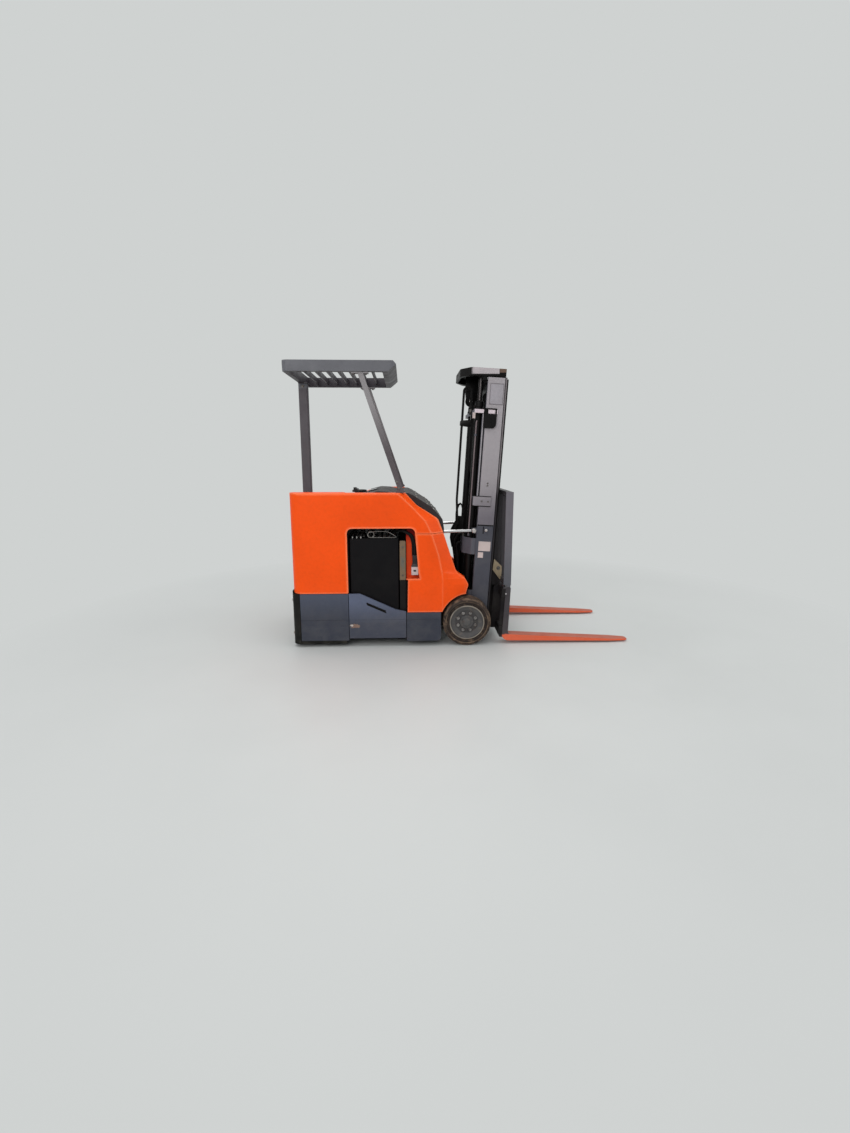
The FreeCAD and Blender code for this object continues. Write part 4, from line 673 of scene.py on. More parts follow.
def add_wheel_details():
    """Nuts on the drive wheels' studs, and hub caps with three screws."""
    circle, count, recess = 0.080, 8, side_face - 0.028
    for name, side in SIDES:
        out = Vector((0, side, 0))
        nuts, trim = Form(), Form()
        for angle in angles(count, math.pi / count):
            foot = Vector((axle.x + circle * math.cos(angle), side * recess,
                           axle.z + circle * math.sin(angle)))
            nuts.lathe(foot, out, [(0.0135, 0), (0.0135, 0.002), (0.012, 0.003)], 20)
            nuts.lathe(foot + out * 0.003, out, [(0.0105, 0), (0.0105, 0.008), (0.009, 0.0100)], 6)
            nuts.lathe(foot + out * 0.0125, out, [(0.0062, 0), (0.0062, 0.005), (0.005, 0.006)], 12)
        hub = Vector((axle.x, side * (side_face - 0.020), axle.z))
        trim.lathe(hub, out, [(0.037, 0), (0.036, 0.006), (0.030, 0.0105), (0.012, 0.013), (0, 0.013)], 32)
        for angle in angles(3, 0.5):
            trim.screw(hub + Vector((0.046 * math.cos(angle), 0, 0.046 * math.sin(angle))), out, 0.005)
        nuts.done("wheel_nuts_" + name, nut_steel, "drive_wheel_" + name, "steel")
        trim.done("hub_cap_" + name, wheel_disc, "drive_wheel_" + name, "wheel_disc")


def add_guard_details():
    """Bolts and welds where the posts meet the guard and the body, and the rear post's foot."""
    bolts = Form()
    post_low, post_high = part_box("front_posts")
    flange_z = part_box("overhead_guard")[0].z - 0.014
    for side in (RIGHT, LEFT):
        y = side * (post_high.y - 0.020)
        for x in (post_low.x + 0.020, post_low.x + 0.114):
            bolts.bolt((x, y, flange_z), (0, 0, -1), 0.009)
        for x, z in ((-0.545, 1.345), (-0.562, 1.392)):
            bolts.bolt((x, side * post_high.y, z), (0, side, 0), 0.008)
    low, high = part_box("rear_post")
    bolts.bolt(((low.x + high.x) / 2, high.y, high.z - 0.03), (0, 1, 0), 0.009)
    bolts.bolt(((low.x + high.x) / 2, low.y, high.z - 0.03), (0, -1, 0), 0.009)
    bolts.done("guard_bolts", dark_steel, "chassis", "steel")
    welds = Form()
    beam_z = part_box("overhead_guard")[0].z
    for x0, y0, x1, y1 in ((low.x, low.y, high.x, low.y), (high.x, low.y, high.x, high.y),
                           (high.x, high.y, low.x, high.y)):
        for z in (beam_z, low.z + 0.001):
            welds.bead((x0, y0, z), (x1, y1, z), 0.0035)
    foot = Form()
    foot.block((low.x + 0.004, low.y - 0.001, low.z), (high.x + 0.016, high.y + 0.016, low.z + 0.010), 0.002)
    foot.done("rear_post_foot", guard_paint, "chassis", "mast_grey")
    welds.done("guard_welds", guard_paint, "chassis", "mast_grey", 60)


def add_cover_details():
    """Screws on the hood, a rubber edge between hood and console, and the hood's two side walls."""
    screws, strip = Form(), Form()
    low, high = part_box("hood")
    slopes = (((-0.433, 1.284), (-0.279, 1.186)), ((-0.279, 1.186), (-0.184, 1.082)))
    for (x0, z0), (x1, z1) in slopes:
        normal = Vector((z0 - z1, 0, x1 - x0)).normalized()
        for t in (0.22, 0.80):
            for y in (low.y + 0.035, -0.12, 0.12, high.y - 0.035):
                foot = Vector((x0 + (x1 - x0) * t, y, z0 + (z1 - z0) * t))
                screws.screw(foot - normal * 0.0006, normal, 0.0085)
    screws.done("hood_screws", zinc, "chassis", "steel")
    strip.tube([(-0.556, y, 1.2945) for y in (low.y + 0.002, high.y - 0.002)], 0.0035, 10)
    strip.done("hood_seal", rubber, "chassis", "rubber")
    walls = Form()
    wall = [(-0.545, 1.285), (-0.470, 1.288), (-0.4365, 1.273), (-0.2865, 1.177), (-0.195, 1.077),
            (-0.184, 1.004), (-0.184, 0.985), (-0.215, 0.985), (-0.230, 1.045), (-0.401, 1.155),
            (-0.450, 1.190), (-0.545, 1.240)]
    for side in (RIGHT, LEFT):
        walls.prism(wall, side * 0.4365, side * 0.4392)
    walls.done("hood_sides", cover_plastic, "chassis", "cover_dark")


def add_opening_details():
    """Rolled edges round the battery openings, in a lighter orange that is a painted highlight; the pockets'
    backs; dark rings round the gates' slots that are painted shade; the plug's shell.
    """
    edges, roofs, shade_rims = Form(), Form(), Form()
    corner = 0.045
    turn = [math.pi / 2 * i / 6 for i in range(7)]
    outline = [(-0.980, 0.474)]
    outline += [(-0.980 + corner - corner * math.cos(a), 1.020 - corner + corner * math.sin(a)) for a in turn]
    outline += [(-0.4115 - corner + corner * math.sin(a), 1.020 - corner + corner * math.cos(a))
                for a in turn]
    outline += [(-0.385, 0.640), (-0.371, 0.590), (-0.476, 0.588)]
    slot_rim = [(-0.826, 0.387), (-0.668, 0.316), (-0.661, 0.299), (-0.820, 0.371), (-0.826, 0.387)]
    for side in (RIGHT, LEFT):
        edges.tube([(x, side * 0.5222, z) for x, z in outline], 0.0045, 8)
        # Dark rings round the gates' hand slots: painted shade that makes the slots look wider and darker.
        shade_rims.tube([(x, side * 0.5190, z) for x, z in slot_rim], 0.0062, 8)
        roofs.block((-0.486, min(side * 0.438, side * 0.444), 0.955),
                    (-0.372, max(side * 0.438, side * 0.444), 1.016), 0.001, 1)
    plug_low, plug_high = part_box("cable_plug")
    shell, mark = Form(), Form()
    shell.block((plug_low.x - 0.006, plug_low.y - 0.002, plug_low.z - 0.022),
                (plug_high.x + 0.008, plug_high.y + 0.001, 0.700), 0.003)
    middle_x = (plug_low.x + plug_high.x) / 2
    mark.block((middle_x - 0.010, plug_low.y - 0.003, 0.652),
               (middle_x + 0.012, plug_low.y, 0.668), 0.0005, 1)
    shell.done("plug_shell", plug_plastic, "chassis", "plug")
    mark.done("plug_mark", cover_plastic, "chassis", "cover_dark")
    edges.done("opening_highlight_edges", edge_highlight_paint, "chassis", "body_orange")
    roofs.done("pocket_backs", orange_paint, "chassis", "body_orange")
    shade_rims.done("slot_edge_shades", black_paint, "chassis", "body_grey")


def side_block(form, side, inside, outside, low, high, edge=0.001):
    """A flat block on one side of the mast: (u, w) corners, and its faces' distances from the middle."""
    near, far = sorted((side * inside, side * outside))
    form.block((low[0], near, low[1]), (high[0], far, high[1]), edge, 1)


def add_mast_details():
    """Bolts, pins, blank plates, pale pipes that are a painted highlight streak on the lift cylinders, dark
    strips that are painted shade lines along the clamps' and a pad's edges, and weld beads on the outer
    stage, in the mast's own frame.
    """
    face, clamp_low, clamp_high, tie_low = 0.340, 0.984, 1.060, 1.744
    bolts, caps, plates, faint, border, welds = [Form(MAST) for _ in range(6)]
    shade_strips, pins, frames, pipes, pads = [Form(MAST) for _ in range(5)]
    for side in (RIGHT, LEFT):
        out = (0, side, 0)
        for u, w in ((0.072, 1.022), (0.126, 1.022)):
            bolts.bolt((u, side * (face + 0.008), w), out, 0.006)
        side_block(frames, side, 0.348, 0.350, (0.034, 1.740), (0.070, 1.778))
        side_block(frames, side, 0.330, 0.350, (0.034, 1.7745), (0.142, 1.786))
        side_block(frames, side, 0.348, 0.350, (0.128, 1.740), (0.142, 1.778))
        side_block(pads, side, 0.3395, 0.342, (0.058, 0.742), (0.150, 0.810))
        side_block(frames, side, 0.341, 0.343, (0.102, 0.745), (0.110, 0.807))
        pins.lathe((0.0263, side * 0.337, 0.7653), out,
                   [(0.019, 0), (0.019, 0.006), (0.015, 0.010), (0, 0.010)], 28)
        pins.lathe((0.129, side * 0.342, 0.775), out,
                   [(0.012, 0), (0.012, 0.008), (0.009, 0.011), (0, 0.011)], 20)
        # Pale pipe beside the lift cylinder: a painted highlight streak.
        pipes.tube([(-0.014, side * 0.290, 0.715), (-0.014, side * 0.290, 1.640),
                    (-0.013, side * 0.286, 1.668), (-0.008, side * 0.274, 1.684)], 0.0065, 12)
        for w in (0.716, 0.760, 1.560):
            pads.lathe((-0.014, side * 0.290, w), UP, [(0.0105, 0), (0.0105, 0.016)], 6)
        for u, w in ((0.112, 1.155), (0.112, 1.175)):
            bolts.screw((u, side * face, w), out, 0.007)
        caps.lathe((0.119, side * face, -0.080), out,
                   [(0.030, 0), (0.030, 0.003), (0.027, 0.005), (0, 0.005)], 28)
        for w0, w1 in ((0.140, 0.240), (0.560, 0.700)):
            welds.bead((0.0495, side * 0.336, w0 + 0.004), (0.0495, side * 0.336, w1 - 0.004), 0.004)
        # Dark strips along the clamps' top and bottom edges and above a pad: painted shade lines.
        for w in (clamp_low - 0.0025, clamp_high + 0.0025):
            shade_strips.tube([(0.002, side * (face + 0.003), w), (0.150, side * (face + 0.003), w)], 0.0042, 8)
        shade_strips.tube([(0.054, side * (face + 0.0005), 0.818),
                     (0.188, side * (face + 0.0005), 0.818)], 0.0048, 8)
        welds.bead((0.052, side * (face + 0.001), tie_low - 0.0015),
                   (0.150, side * (face + 0.001), tie_low - 0.0015), 0.003)
    for low_u, high_u, low_w, high_w in ((0.074, 0.178, 0.594, 0.677), (0.074, 0.120, 0.534, 0.582)):
        plates.block((low_u, -face - 0.0014, low_w), (high_u, -face + 0.001, high_w), 0.0006, 1)
    side_block(plates, RIGHT, 0.330, 0.347, (-0.056, 1.698), (-0.034, 1.745))
    border.block((0.072, -face - 0.0008, 1.815), (0.186, -face + 0.001, 1.985), 0.0003, 1)
    faint.block((0.078, -face - 0.0013, 1.822), (0.180, -face + 0.001, 1.978), 0.0005, 1)
    frames.block((0.103, -0.3585, 1.640), (0.134, -0.3560, 1.712), 0.001, 1)
    bolts.done("mast_bolts", dark_steel, "mast_outer", "steel")
    caps.done("mast_pin_caps", mast_paint, "mast_outer", "mast_grey")
    plates.done("blank_plates", blank_label, "mast_outer", "plug")
    border.done("decal_border", label_edge, "mast_outer", "mast_grey")
    faint.done("blank_decal", faint_label, "mast_outer", "mast_grey")
    pins.done("mast_pins", bright_pin, "mast_outer", "steel")
    frames.done("tie_frames", black_paint, "mast_outer", "mast_black")
    pipes.done("cylinder_pipes", highlight_pipe_paint, "mast_outer", "steel")
    pads.done("mast_pads", mast_paint, "mast_outer", "mast_grey")
    welds.done("mast_welds", mast_paint, "mast_outer", "mast_grey", 60)
    shade_strips.done("clamp_edge_shades", rubber, "mast_outer", "rubber")


def add_hose_details():
    """Fittings on the mast's hoses, the tall ones' bracket, two short loops, and the pulley under the cap."""
    fittings, bracket = Form(MAST), Form(MAST)
    low_u, over_u, top_u, riser_u = -0.0673, -0.051, -0.0513, -0.118
    arches, risers = (-0.204, -0.180, -0.156), (-0.130, -0.104)
    ends = [(low_u, y, 0.146) for y in arches + risers] + [(over_u, y, 0.7003) for y in arches]
    ends += [(top_u, y, 1.744) for y in risers]
    for u, y, w in ends:
        fittings.lathe((u, y, w), UP, [(0.0098, 0), (0.0098, 0.014)], 6)
        fittings.lathe((u, y, w + 0.016), UP, [(0.0094, 0), (0.0104, 0.003), (0.0104, 0.024),
                                               (0.0094, 0.027)], 16)
    bracket.prism([(-0.042, 1.640), (-0.042, 1.774), (-0.046, 1.774), (-0.046, 1.700), (-0.128, 1.690),
                   (-0.134, 1.684), (-0.134, 1.652), (-0.128, 1.646), (-0.060, 1.640)], -0.142, -0.092, 0.002)
    for y in risers:
        bracket.bolt((riser_u, y, 1.692), UP, 0.006, False)
    extra = Form(MAST)
    for y in (-0.078, -0.054):
        path = [(low_u, 0.146), (low_u, 0.560), (-0.074, 0.640), (-0.092, 0.720), (-0.103, 0.800),
                (-0.107, 0.880), (-0.104, 0.930), (-0.094, 0.960), (-0.078, 0.972), (-0.062, 0.960),
                (-0.053, 0.930), (over_u, 0.880), (over_u, 0.7003)]
        extra.tube([(u, y, w) for u, w in path], 0.0088, 12)
        for u, w in ((low_u, 0.146), (over_u, 0.7003)):
            fittings.lathe((u, y, w + 0.001), UP, [(0.0102, 0), (0.0102, 0.024), (0.0094, 0.027)], 16)
    extra.block((-0.104, -0.090, 0.7003), (-0.047, -0.042, 0.860), 0.006)
    extra.prism([(-0.058, 0.530), (-0.130, 0.570), (-0.150, 0.650), (-0.146, 0.740), (-0.115, 0.805),
                 (-0.058, 0.850)], -0.030, -0.024, 0.001)
    extra.done("short_hoses", rubber, "mast_outer", "rubber")
    pulley, hanger, bolt = Form(MAST), Form(MAST), Form(MAST)
    pulley.lathe((-0.043, -0.014, 1.866), (0, 1, 0),
                 [(0.046, 0), (0.046, 0.004), (0.038, 0.010), (0.038, 0.018), (0.046, 0.024),
                  (0.046, 0.028)], 36)
    for side in (RIGHT, LEFT):
        hanger.prism([(-0.096, 2.0845), (0.040, 2.0845), (0.040, 1.930), (0.004, 1.850), (-0.052, 1.836),
                      (-0.082, 1.862), (-0.096, 1.960)], side * 0.017, side * 0.025, 0.001)
        bolt.bolt((-0.043, side * 0.025, 1.866), (0, side, 0), 0.010)
        side_block(hanger, side, 0.286, 0.334, (0.008, 2.004), (0.044, 2.0365))
    pulley.done("hose_pulley", black_paint, "mast_middle", "mast_black")
    hanger.done("pulley_hanger", black_paint, "mast_middle", "mast_black")
    bolt.done("pulley_bolts", bright_pin, "mast_middle", "steel")
    fittings.done("hose_fittings", dark_steel, "mast_outer", "steel")
    bracket.done("hose_bracket", black_paint, "mast_outer", "mast_black")


def add_chains():
    """Leaf chains with their pins, over the free-lift sheaves."""
    pitch, run_u, top_w, radius, chain_y = 0.01905, 0.150, 1.068, 0.0473, 0.062
    link_radius, half_plate, pin_radius, half_pin = 0.0055, 0.00125, 0.0026, 0.0082
    front_low, rear_low = 0.300, 0.900
    lengths = (top_w - front_low, math.pi * radius, top_w - rear_low)

    def place(s):
        """The point at length s along the chain from its front end."""
        if s < lengths[0]:
            return Vector((run_u + radius, 0, front_low + s))
        s -= lengths[0]
        if s < lengths[1]:
            a = s / radius
            return Vector((run_u + radius * math.cos(a), 0, top_w + radius * math.sin(a)))
        return Vector((run_u - radius, 0, top_w - (s - lengths[1])))

    links = Form(MAST)
    for side in (RIGHT, LEFT):
        for i in range(int(sum(lengths) / pitch)):
            here, there = place(i * pitch), place((i + 1) * pitch)
            along = (there - here).normalized()
            normal = Vector((along.z, 0, -along.x))
            outline = []
            for end, start in ((there, -math.pi / 2), (here, math.pi / 2)):
                for a in (start + math.pi * k / 4 for k in range(5)):
                    point = end + along * link_radius * math.cos(a) + normal * link_radius * math.sin(a)
                    outline.append((point.x, point.z))
            for offset in (-0.0062, 0.0, 0.0062) if i % 2 else (-0.0031, 0.0031):
                y = side * chain_y + offset
                links.prism(outline, y - half_plate, y + half_plate)
            foot = (here.x, side * chain_y - half_pin, here.z)
            links.lathe(foot, (0, 1, 0), [(pin_radius, 0), (pin_radius, 2 * half_pin)], 8)
    chain = links.done("leaf_chains", oiled_steel, "free_lift", "chain_steel")
    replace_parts(chain, "lift_chains")


def add_cylinder_details():
    """Gland rings, wipers and ports on the mast's cylinders."""
    rings, wipers = Form(MAST), Form(MAST)
    for side in (RIGHT, LEFT):
        top = Vector((0.006, side * 0.246, 1.835))
        rings.lathe(top, UP, [(0.0365, 0), (0.0365, 0.006), (0.031, 0.010), (0.0225, 0.010), (0.0225, 0)], 32)
        wipers.lathe(top + UP * 0.010, UP, [(0.0265, 0), (0.0255, 0.004), (0.0216, 0.006), (0.0216, 0)], 28)
        for w in (0.100, 1.790):
            rings.lathe((0.006 - 0.036, side * 0.246, w), (-1, 0, 0),
                        [(0.011, -0.006), (0.011, 0.004), (0.007, 0.006)], 6)
    rings.done("cylinder_rings", black_paint, "mast_outer", "mast_black")
    wipers.done("cylinder_wipers", rubber, "mast_outer", "rubber")


def add_carriage_details():
    """Bolts and welds of carriage and backrest, plates between the fork bars, and the backrest's brackets."""
    bolts, welds = Form(MAST), Form(MAST)
    bar_front, bar_low, bar_high = 0.3157, -0.106, 0.225
    for side in (RIGHT, LEFT):
        for y in (0.315, 0.345):
            bolts.bolt((bar_front + 0.0005, side * y, 0.252), (1, 0, 0), 0.009)
        bolts.bolt((bar_front, side * 0.25, bar_low + 0.038), (1, 0, 0), 0.011)
        bolts.bolt((bar_front, side * 0.25, bar_high + 0.038), (1, 0, 0), 0.011)
        for w0, w1 in ((bar_low + 0.004, bar_low + 0.072), (bar_high + 0.004, bar_high + 0.072)):
            for y in (0.1855, 0.2025):
                welds.bead((0.2835, side * y, w0), (0.2835, side * y, w1), 0.0035)
    bolts.done("carriage_bolts", dark_steel, "carriage_body", "steel")
    welds.done("carriage_welds", carriage_paint, "carriage_body", "mast_black", 60)
    plates, eyes, ends, clips = [Form(MAST) for _ in range(4)]
    for side in (RIGHT, LEFT):
        side_block(ends, side, 0.462, 0.474, (0.2845, -0.031), (0.3155, 0.226))
        side_block(ends, side, 0.300, 0.312, (0.2835, -0.031), (0.3155, 0.226))
        side_block(clips, side, 0.470, 0.4845, (0.320, 0.3175), (0.3535, 0.337))
        ends.prism([(0.2165, 0.290), (0.2155, 0.440), (0.300, 0.400), (0.3155, 0.345), (0.3155, 0.302),
                    (0.2835, 0.290)], side * 0.292, side * 0.298)
        plates.prism([(0.226, 0.524), (0.298, 0.462), (0.303, 0.345), (0.288, 0.345), (0.219, 0.428)],
                     side * 0.3065 - 0.006, side * 0.3065 + 0.006, 0.002)
        eyes.lathe((0.268, side * 0.3125, 0.445), (0, side, 0),
                   [(0.017, 0), (0.017, 0.0012), (0, 0.0012)], 24)
        eyes.bolt((0.268, side * 0.3130, 0.445), (0, side, 0), 0.008)
    clips.done("backrest_clips", backrest_paint, "carriage_body", "mast_grey")
    ends.done("carriage_ends", carriage_paint, "carriage_body", "mast_black")
    plates.done("backrest_brackets", tan_paint, "carriage_body", "retainer")
    eyes.done("bracket_bolts", dark_steel, "carriage_body", "steel")


def add_battery_details():
    """Cell caps, straps, lifting loops, cables and boots on the battery, and bolts on its retainers."""
    low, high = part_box("battery")
    caps, straps, eyes, bolts, lugs, leads = [Form() for _ in range(6)]
    columns = [low.x + 0.075 + 0.0865 * i for i in range(4)]
    rows = [low.y + 0.085 + 0.101 * i for i in range(9)]
    for i, x in enumerate(columns):
        for k, y in enumerate(rows):
            caps.lathe((x, y, high.z), UP, [(0.020, 0), (0.020, 0.004), (0.017, 0.010), (0.009, 0.013),
                                            (0, 0.013)], 16)
            if k < 8:
                straps.block((x + 0.028, y + 0.010, high.z - 0.001),
                             (x + 0.050, y + 0.091, high.z + 0.008), 0.002, 1)
    for side in (RIGHT, LEFT):
        y = side * (high.y - 0.012)
        loop = [(-0.812, 0.958), (-0.800, 0.976), (-0.760, 0.983), (-0.700, 0.986), (-0.645, 0.983),
                (-0.596, 0.958), (-0.568, 0.937), (-0.600, 0.9345), (-0.700, 0.9345), (-0.770, 0.9345),
                (-0.802, 0.940), (-0.812, 0.958)]
        eyes.tube([(x, y - side * 0.2 * (z - high.z), z) for x, z in loop], 0.0042)
        ring = [(-0.782 + 0.025 * math.cos(a), 0.960 + 0.025 * math.sin(a))
                for a in (math.pi * k / 10 for k in range(21))]
        eyes.tube([(x, y - side * 0.2 * (z - high.z), z) for x, z in ring], 0.0036)
        for x, back in ((-0.935, 0.02), (-0.900, 0.06), (-0.866, 0.03)):
            lugs.tube([(x, y, high.z - 0.002), (x, y, high.z + 0.016)], 0.0075, 12)
            leads.tube([(x, y, high.z + 0.012), (x + 0.006, y - side * 0.010, high.z + 0.030),
                        (x + 0.016, y - side * 0.045, high.z + 0.042),
                        (x + 0.020, y - side * (0.11 + back), high.z + 0.030),
                        (x + 0.022, y - side * (0.14 + back), high.z + 0.004)], 0.0062, 10)
        post_y = side * (high.y - 0.002)
        for z in (0.615, 0.735, 0.855):
            bolts.bolt((-0.520, post_y, z), (0, side, 0), 0.006)
    caps.done("cell_caps", control_plastic, "chassis", "battery_case")
    straps.done("cell_straps", dark_steel, "chassis", "steel")
    eyes.done("lifting_loops", wire_steel, "chassis", "steel")
    lugs.done("cable_lugs", steel, "chassis", "steel")
    bolts.done("retainer_bolts", dark_steel, "chassis", "steel")
    leads.tube([(-0.612, -0.372, high.z), (-0.612, -0.372, 0.962), (-0.606, -0.374, 0.980),
                (-0.588, -0.386, 0.992), (-0.552, -0.412, 0.996), (-0.512, -0.440, 0.990),
                (-0.478, -0.462, 0.972), (-0.456, -0.474, 0.946), (-0.443, -0.478, 0.914),
                (-0.437, -0.479, 0.880), (-0.435, -0.479, 0.840), (-0.435, -0.479, 0.780)], 0.0085, 14)
    leads.done("battery_cables", rubber, "chassis", "rubber")
    boots = Form()
    boots.lathe((-0.590, -0.400, high.z), UP, [(0.022, 0), (0.022, 0.008), (0.018, 0.020),
                                               (0.0135, 0.034)], 20)
    plug_low, plug_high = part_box("cable_plug")
    for i in range(6):
        z = 0.722 + i * 0.0105
        boots.block((plug_low.x + 0.003, plug_low.y + 0.004, z),
                    (plug_high.x - 0.001, plug_high.y - 0.006, z + 0.005), 0.001, 1)
    boots.done("cable_boots", rubber, "chassis", "rubber")


def add_controls():
    """The steering knob's rim, buttons on the lever, a blank display, key switch, stop button and pedals."""
    parts, stop, glass = Form(), Form(), Form()
    hub = centre("steering_tiller")
    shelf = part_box("steering_tiller")[0].z
    rim = [Vector((hub.x + 0.061 * math.cos(a), hub.y + 0.061 * math.sin(a), shelf + 0.030))
           for a in angles(48)]
    for i, point in enumerate(rim):
        parts.tube([point, rim[(i + 1) % 48]], 0.0042, 8)
    parts.lathe((hub.x, hub.y, shelf + 0.0288), UP,
                [(0.020, 0), (0.018, 0.004), (0.010, 0.006), (0, 0.006)], 24)
    lever = centre("control_handle")
    for i in (-1, 0, 1):
        parts.lathe((lever.x - 0.006, lever.y + i * 0.020, shelf + 0.061), (-0.35, 0, 1),
                    [(0.0065, 0), (0.0065, 0.003), (0.005, 0.0045)], 14)
    parts.lathe((-0.940, -0.085, shelf), UP, [(0.016, 0), (0.016, 0.004), (0.011, 0.008), (0.011, 0.012),
                                              (0.003, 0.012)], 24)
    parts.block((-0.956, -0.150, shelf - 0.001), (-0.916, -0.122, shelf + 0.010), 0.003)
    turn = Matrix.Translation((-0.780, -0.02, 1.3035)) @ Matrix.Rotation(math.radians(-14.6), 4, "Y")
    parts.block((-0.040, -0.085, -0.004), (0.040, 0.085, 0.006), 0.003, 2, turn)
    glass.block((-0.030, -0.070, 0.0055), (0.030, 0.070, 0.0068), 0.0006, 1, turn)
    stop.lathe((-0.935, 0.190, shelf), UP, [(0.015, 0), (0.013, 0.010), (0.021, 0.013), (0.020, 0.021),
                                            (0.012, 0.026), (0, 0.026)], 28)
    parts.done("console_switches", control_plastic, "chassis", "cover_dark")
    glass.done("blank_display", display_glass, "chassis", "cover_dark")
    stop.done("stop_button", stop_red, "chassis", "fork_orange")
    pedals = Form()
    mat_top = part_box("floor_mat")[1].z
    for y0, y1 in ((-0.300, -0.190), (-0.020, 0.080)):
        pedals.prism([(-1.150, mat_top), (-1.150, mat_top + 0.010), (-1.060, mat_top + 0.034),
                      (-1.052, mat_top + 0.030), (-1.052, mat_top)], y0, y1, 0.002)
        for i in range(6):
            x = -1.142 + i * 0.015
            z = mat_top + 0.0105 + (x + 1.150) * 0.2667
            pedals.block((x, y0 + 0.006, z - 0.002), (x + 0.006, y1 - 0.006, z + 0.003), 0.0008, 1)
    pedals.done("pedals", rubber, "chassis", "rubber")


def add_floor_mat():
    """A ribbed rubber mat in the place of the plain one."""
    low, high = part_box("floor_mat")
    mat = Form()
    base = high.z - 0.0045
    mat.block(low, (high.x, high.y, base), 0.0035)
    count = 17
    pitch = (high.x - low.x - 0.030) / count
    for i in range(count):
        x = low.x + 0.015 + pitch * i
        mat.block((x + 0.004, low.y + 0.014, base - 0.001),
                  (x + pitch - 0.006, high.y - 0.014, high.z), 0.0016)
    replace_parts(mat.done("ribbed_mat", rubber, "chassis", "rubber"), "floor_mat")


def add_knee_pad():
    """A crowned, stitched pad: foam under vinyl, with two sewn channels and a piped edge."""
    low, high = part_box("knee_pad")
    wide, tall, deep = high.y - low.y, high.z - low.z, high.x - low.x
    across, up = 56, 44
    corner = 0.020
    made = bmesh.new()
    front = []

    def depth(s, t):
        """How far the vinyl stands off its board, from 0 at the rim to 1 at the crown."""
        y, z = s * wide, t * tall
        rim = min(y, wide - y, z, tall - z)
        rounded = math.sqrt(max(0.0, 1 - (1 - min(rim / corner, 1)) ** 2))
        crown = (math.sin(math.pi * s) * math.sin(math.pi * t)) ** 0.5
        height = rounded * (0.62 + 0.38 * crown)
        for seam in (1 / 3, 2 / 3):
            off = (t - seam) * tall / 0.009
            height -= 0.22 * math.exp(-off * off) * rounded
        gather = 0.012 * math.sin(s * wide * 420) * math.exp(-(min(abs(t - 1 / 3),
                                                                   abs(t - 2 / 3)) * tall / 0.02) ** 2)
        return max(0.0, height + gather)

    for k in range(up + 1):
        t = 0.5 - 0.5 * math.cos(math.pi * k / up)
        row = []
        for i in range(across + 1):
            s = 0.5 - 0.5 * math.cos(math.pi * i / across)
            pull = 0.006 * (math.sin(math.pi * t) * (1 - 2 * s) * (1 - math.sin(math.pi * s)))
            row.append(made.verts.new((high.x - 0.004 - (deep - 0.004) * depth(s, t), low.y + s * wide + pull,
                                       low.z + t * tall)))
        front.append(row)
    for k in range(up):
        for i in range(across):
            made.faces.new((front[k][i], front[k][i + 1], front[k + 1][i + 1], front[k + 1][i]))
    rim = front[0][:] + [row[-1] for row in front[1:]]
    rim += front[-1][-2::-1] + [row[0] for row in front[-2:0:-1]]
    back = [made.verts.new((high.x, v.co.y, v.co.z)) for v in rim]
    for i in range(len(rim)):
        following = (i + 1) % len(rim)
        made.faces.new((rim[i], rim[following], back[following], back[i]))
    made.faces.new(back)
    bmesh.ops.recalc_face_normals(made, faces=made.faces)
    pad = Form()
    pad.take(made)
    piece = pad.done("knee_cushion", vinyl, "chassis", "pad", 60)
    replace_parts(piece, "knee_pad")
    piping = Form()
    inset = 0.004
    ring = [(low.y + inset, low.z + inset), (high.y - inset, low.z + inset), (high.y - inset, high.z - inset),
            (low.y + inset, high.z - inset)]
    for i in range(4):
        (y0, z0), (y1, z1) = ring[i], ring[(i + 1) % 4]
        piping.tube([(high.x - 0.0065, y0, z0), (high.x - 0.0065, y1, z1)], 0.0032, 10)
    stitches = Form()
    for seam in (1 / 3, 2 / 3):
        z = low.z + tall * seam
        for i in range(56):
            s = 0.06 + 0.88 * i / 56
            x = high.x - 0.004 - (deep - 0.004) * depth(s, seam)
            y = low.y + s * wide
            stitches.tube([(x - 0.0004, y, z), (x - 0.0004, y + 0.004, z)], 0.0007, 5)
    piping.done("pad_piping", vinyl, "chassis", "pad")
    stitches.done("pad_stitches", thread, "chassis", "pad")


def add_chassis_details():
    """Bumper and skirt fasteners, the drive motor's fins, and the steering yoke's bolts."""
    bolts, fins = Form(), Form()
    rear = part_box("rear_bumper")[0].x
    for side in (RIGHT, LEFT):
        for z in (0.110, 0.400):
            bolts.bolt((rear + 0.0005, side * 0.440, z), (-1, 0, 0), 0.012)
    motor = Vector((axle.x - 0.092, 0, axle.z))
    for i in range(11):
        fins.lathe(motor + Vector((0, -0.080 + i * 0.016 - 0.002, 0)), (0, 1, 0),
                   [(0.094, 0), (0.0985, 0.001), (0.0985, 0.003), (0.094, 0.004)], 40)
    for side in (RIGHT, LEFT):
        for a in angles(6, 0.3):
            foot = motor + Vector((0.060 * math.cos(a), side * 0.106, 0.060 * math.sin(a)))
            bolts.bolt(foot, (0, side, 0), 0.006, False)
    bolts.done("chassis_bolts", zinc, "chassis", "steel")
    fins.done("motor_fins", frame_paint, "chassis", "frame_black")
    yoke = Form()
    middle = centre("steer_yoke")
    for a in angles(6):
        yoke.bolt((middle.x + 0.064 * math.cos(a), middle.y + 0.064 * math.sin(a), 0.302), (0, 0, -1),
                  0.007, False)
    yoke.done("yoke_bolts", zinc, "steer_unit", "steel")


add_wheel_details()
add_guard_details()
add_cover_details()
add_opening_details()
add_mast_details()
add_hose_details()
add_chains()
add_cylinder_details()
add_carriage_details()
add_battery_details()
add_controls()
add_floor_mat()
add_knee_pad()
add_chassis_details()


# Backdrop, light and camera

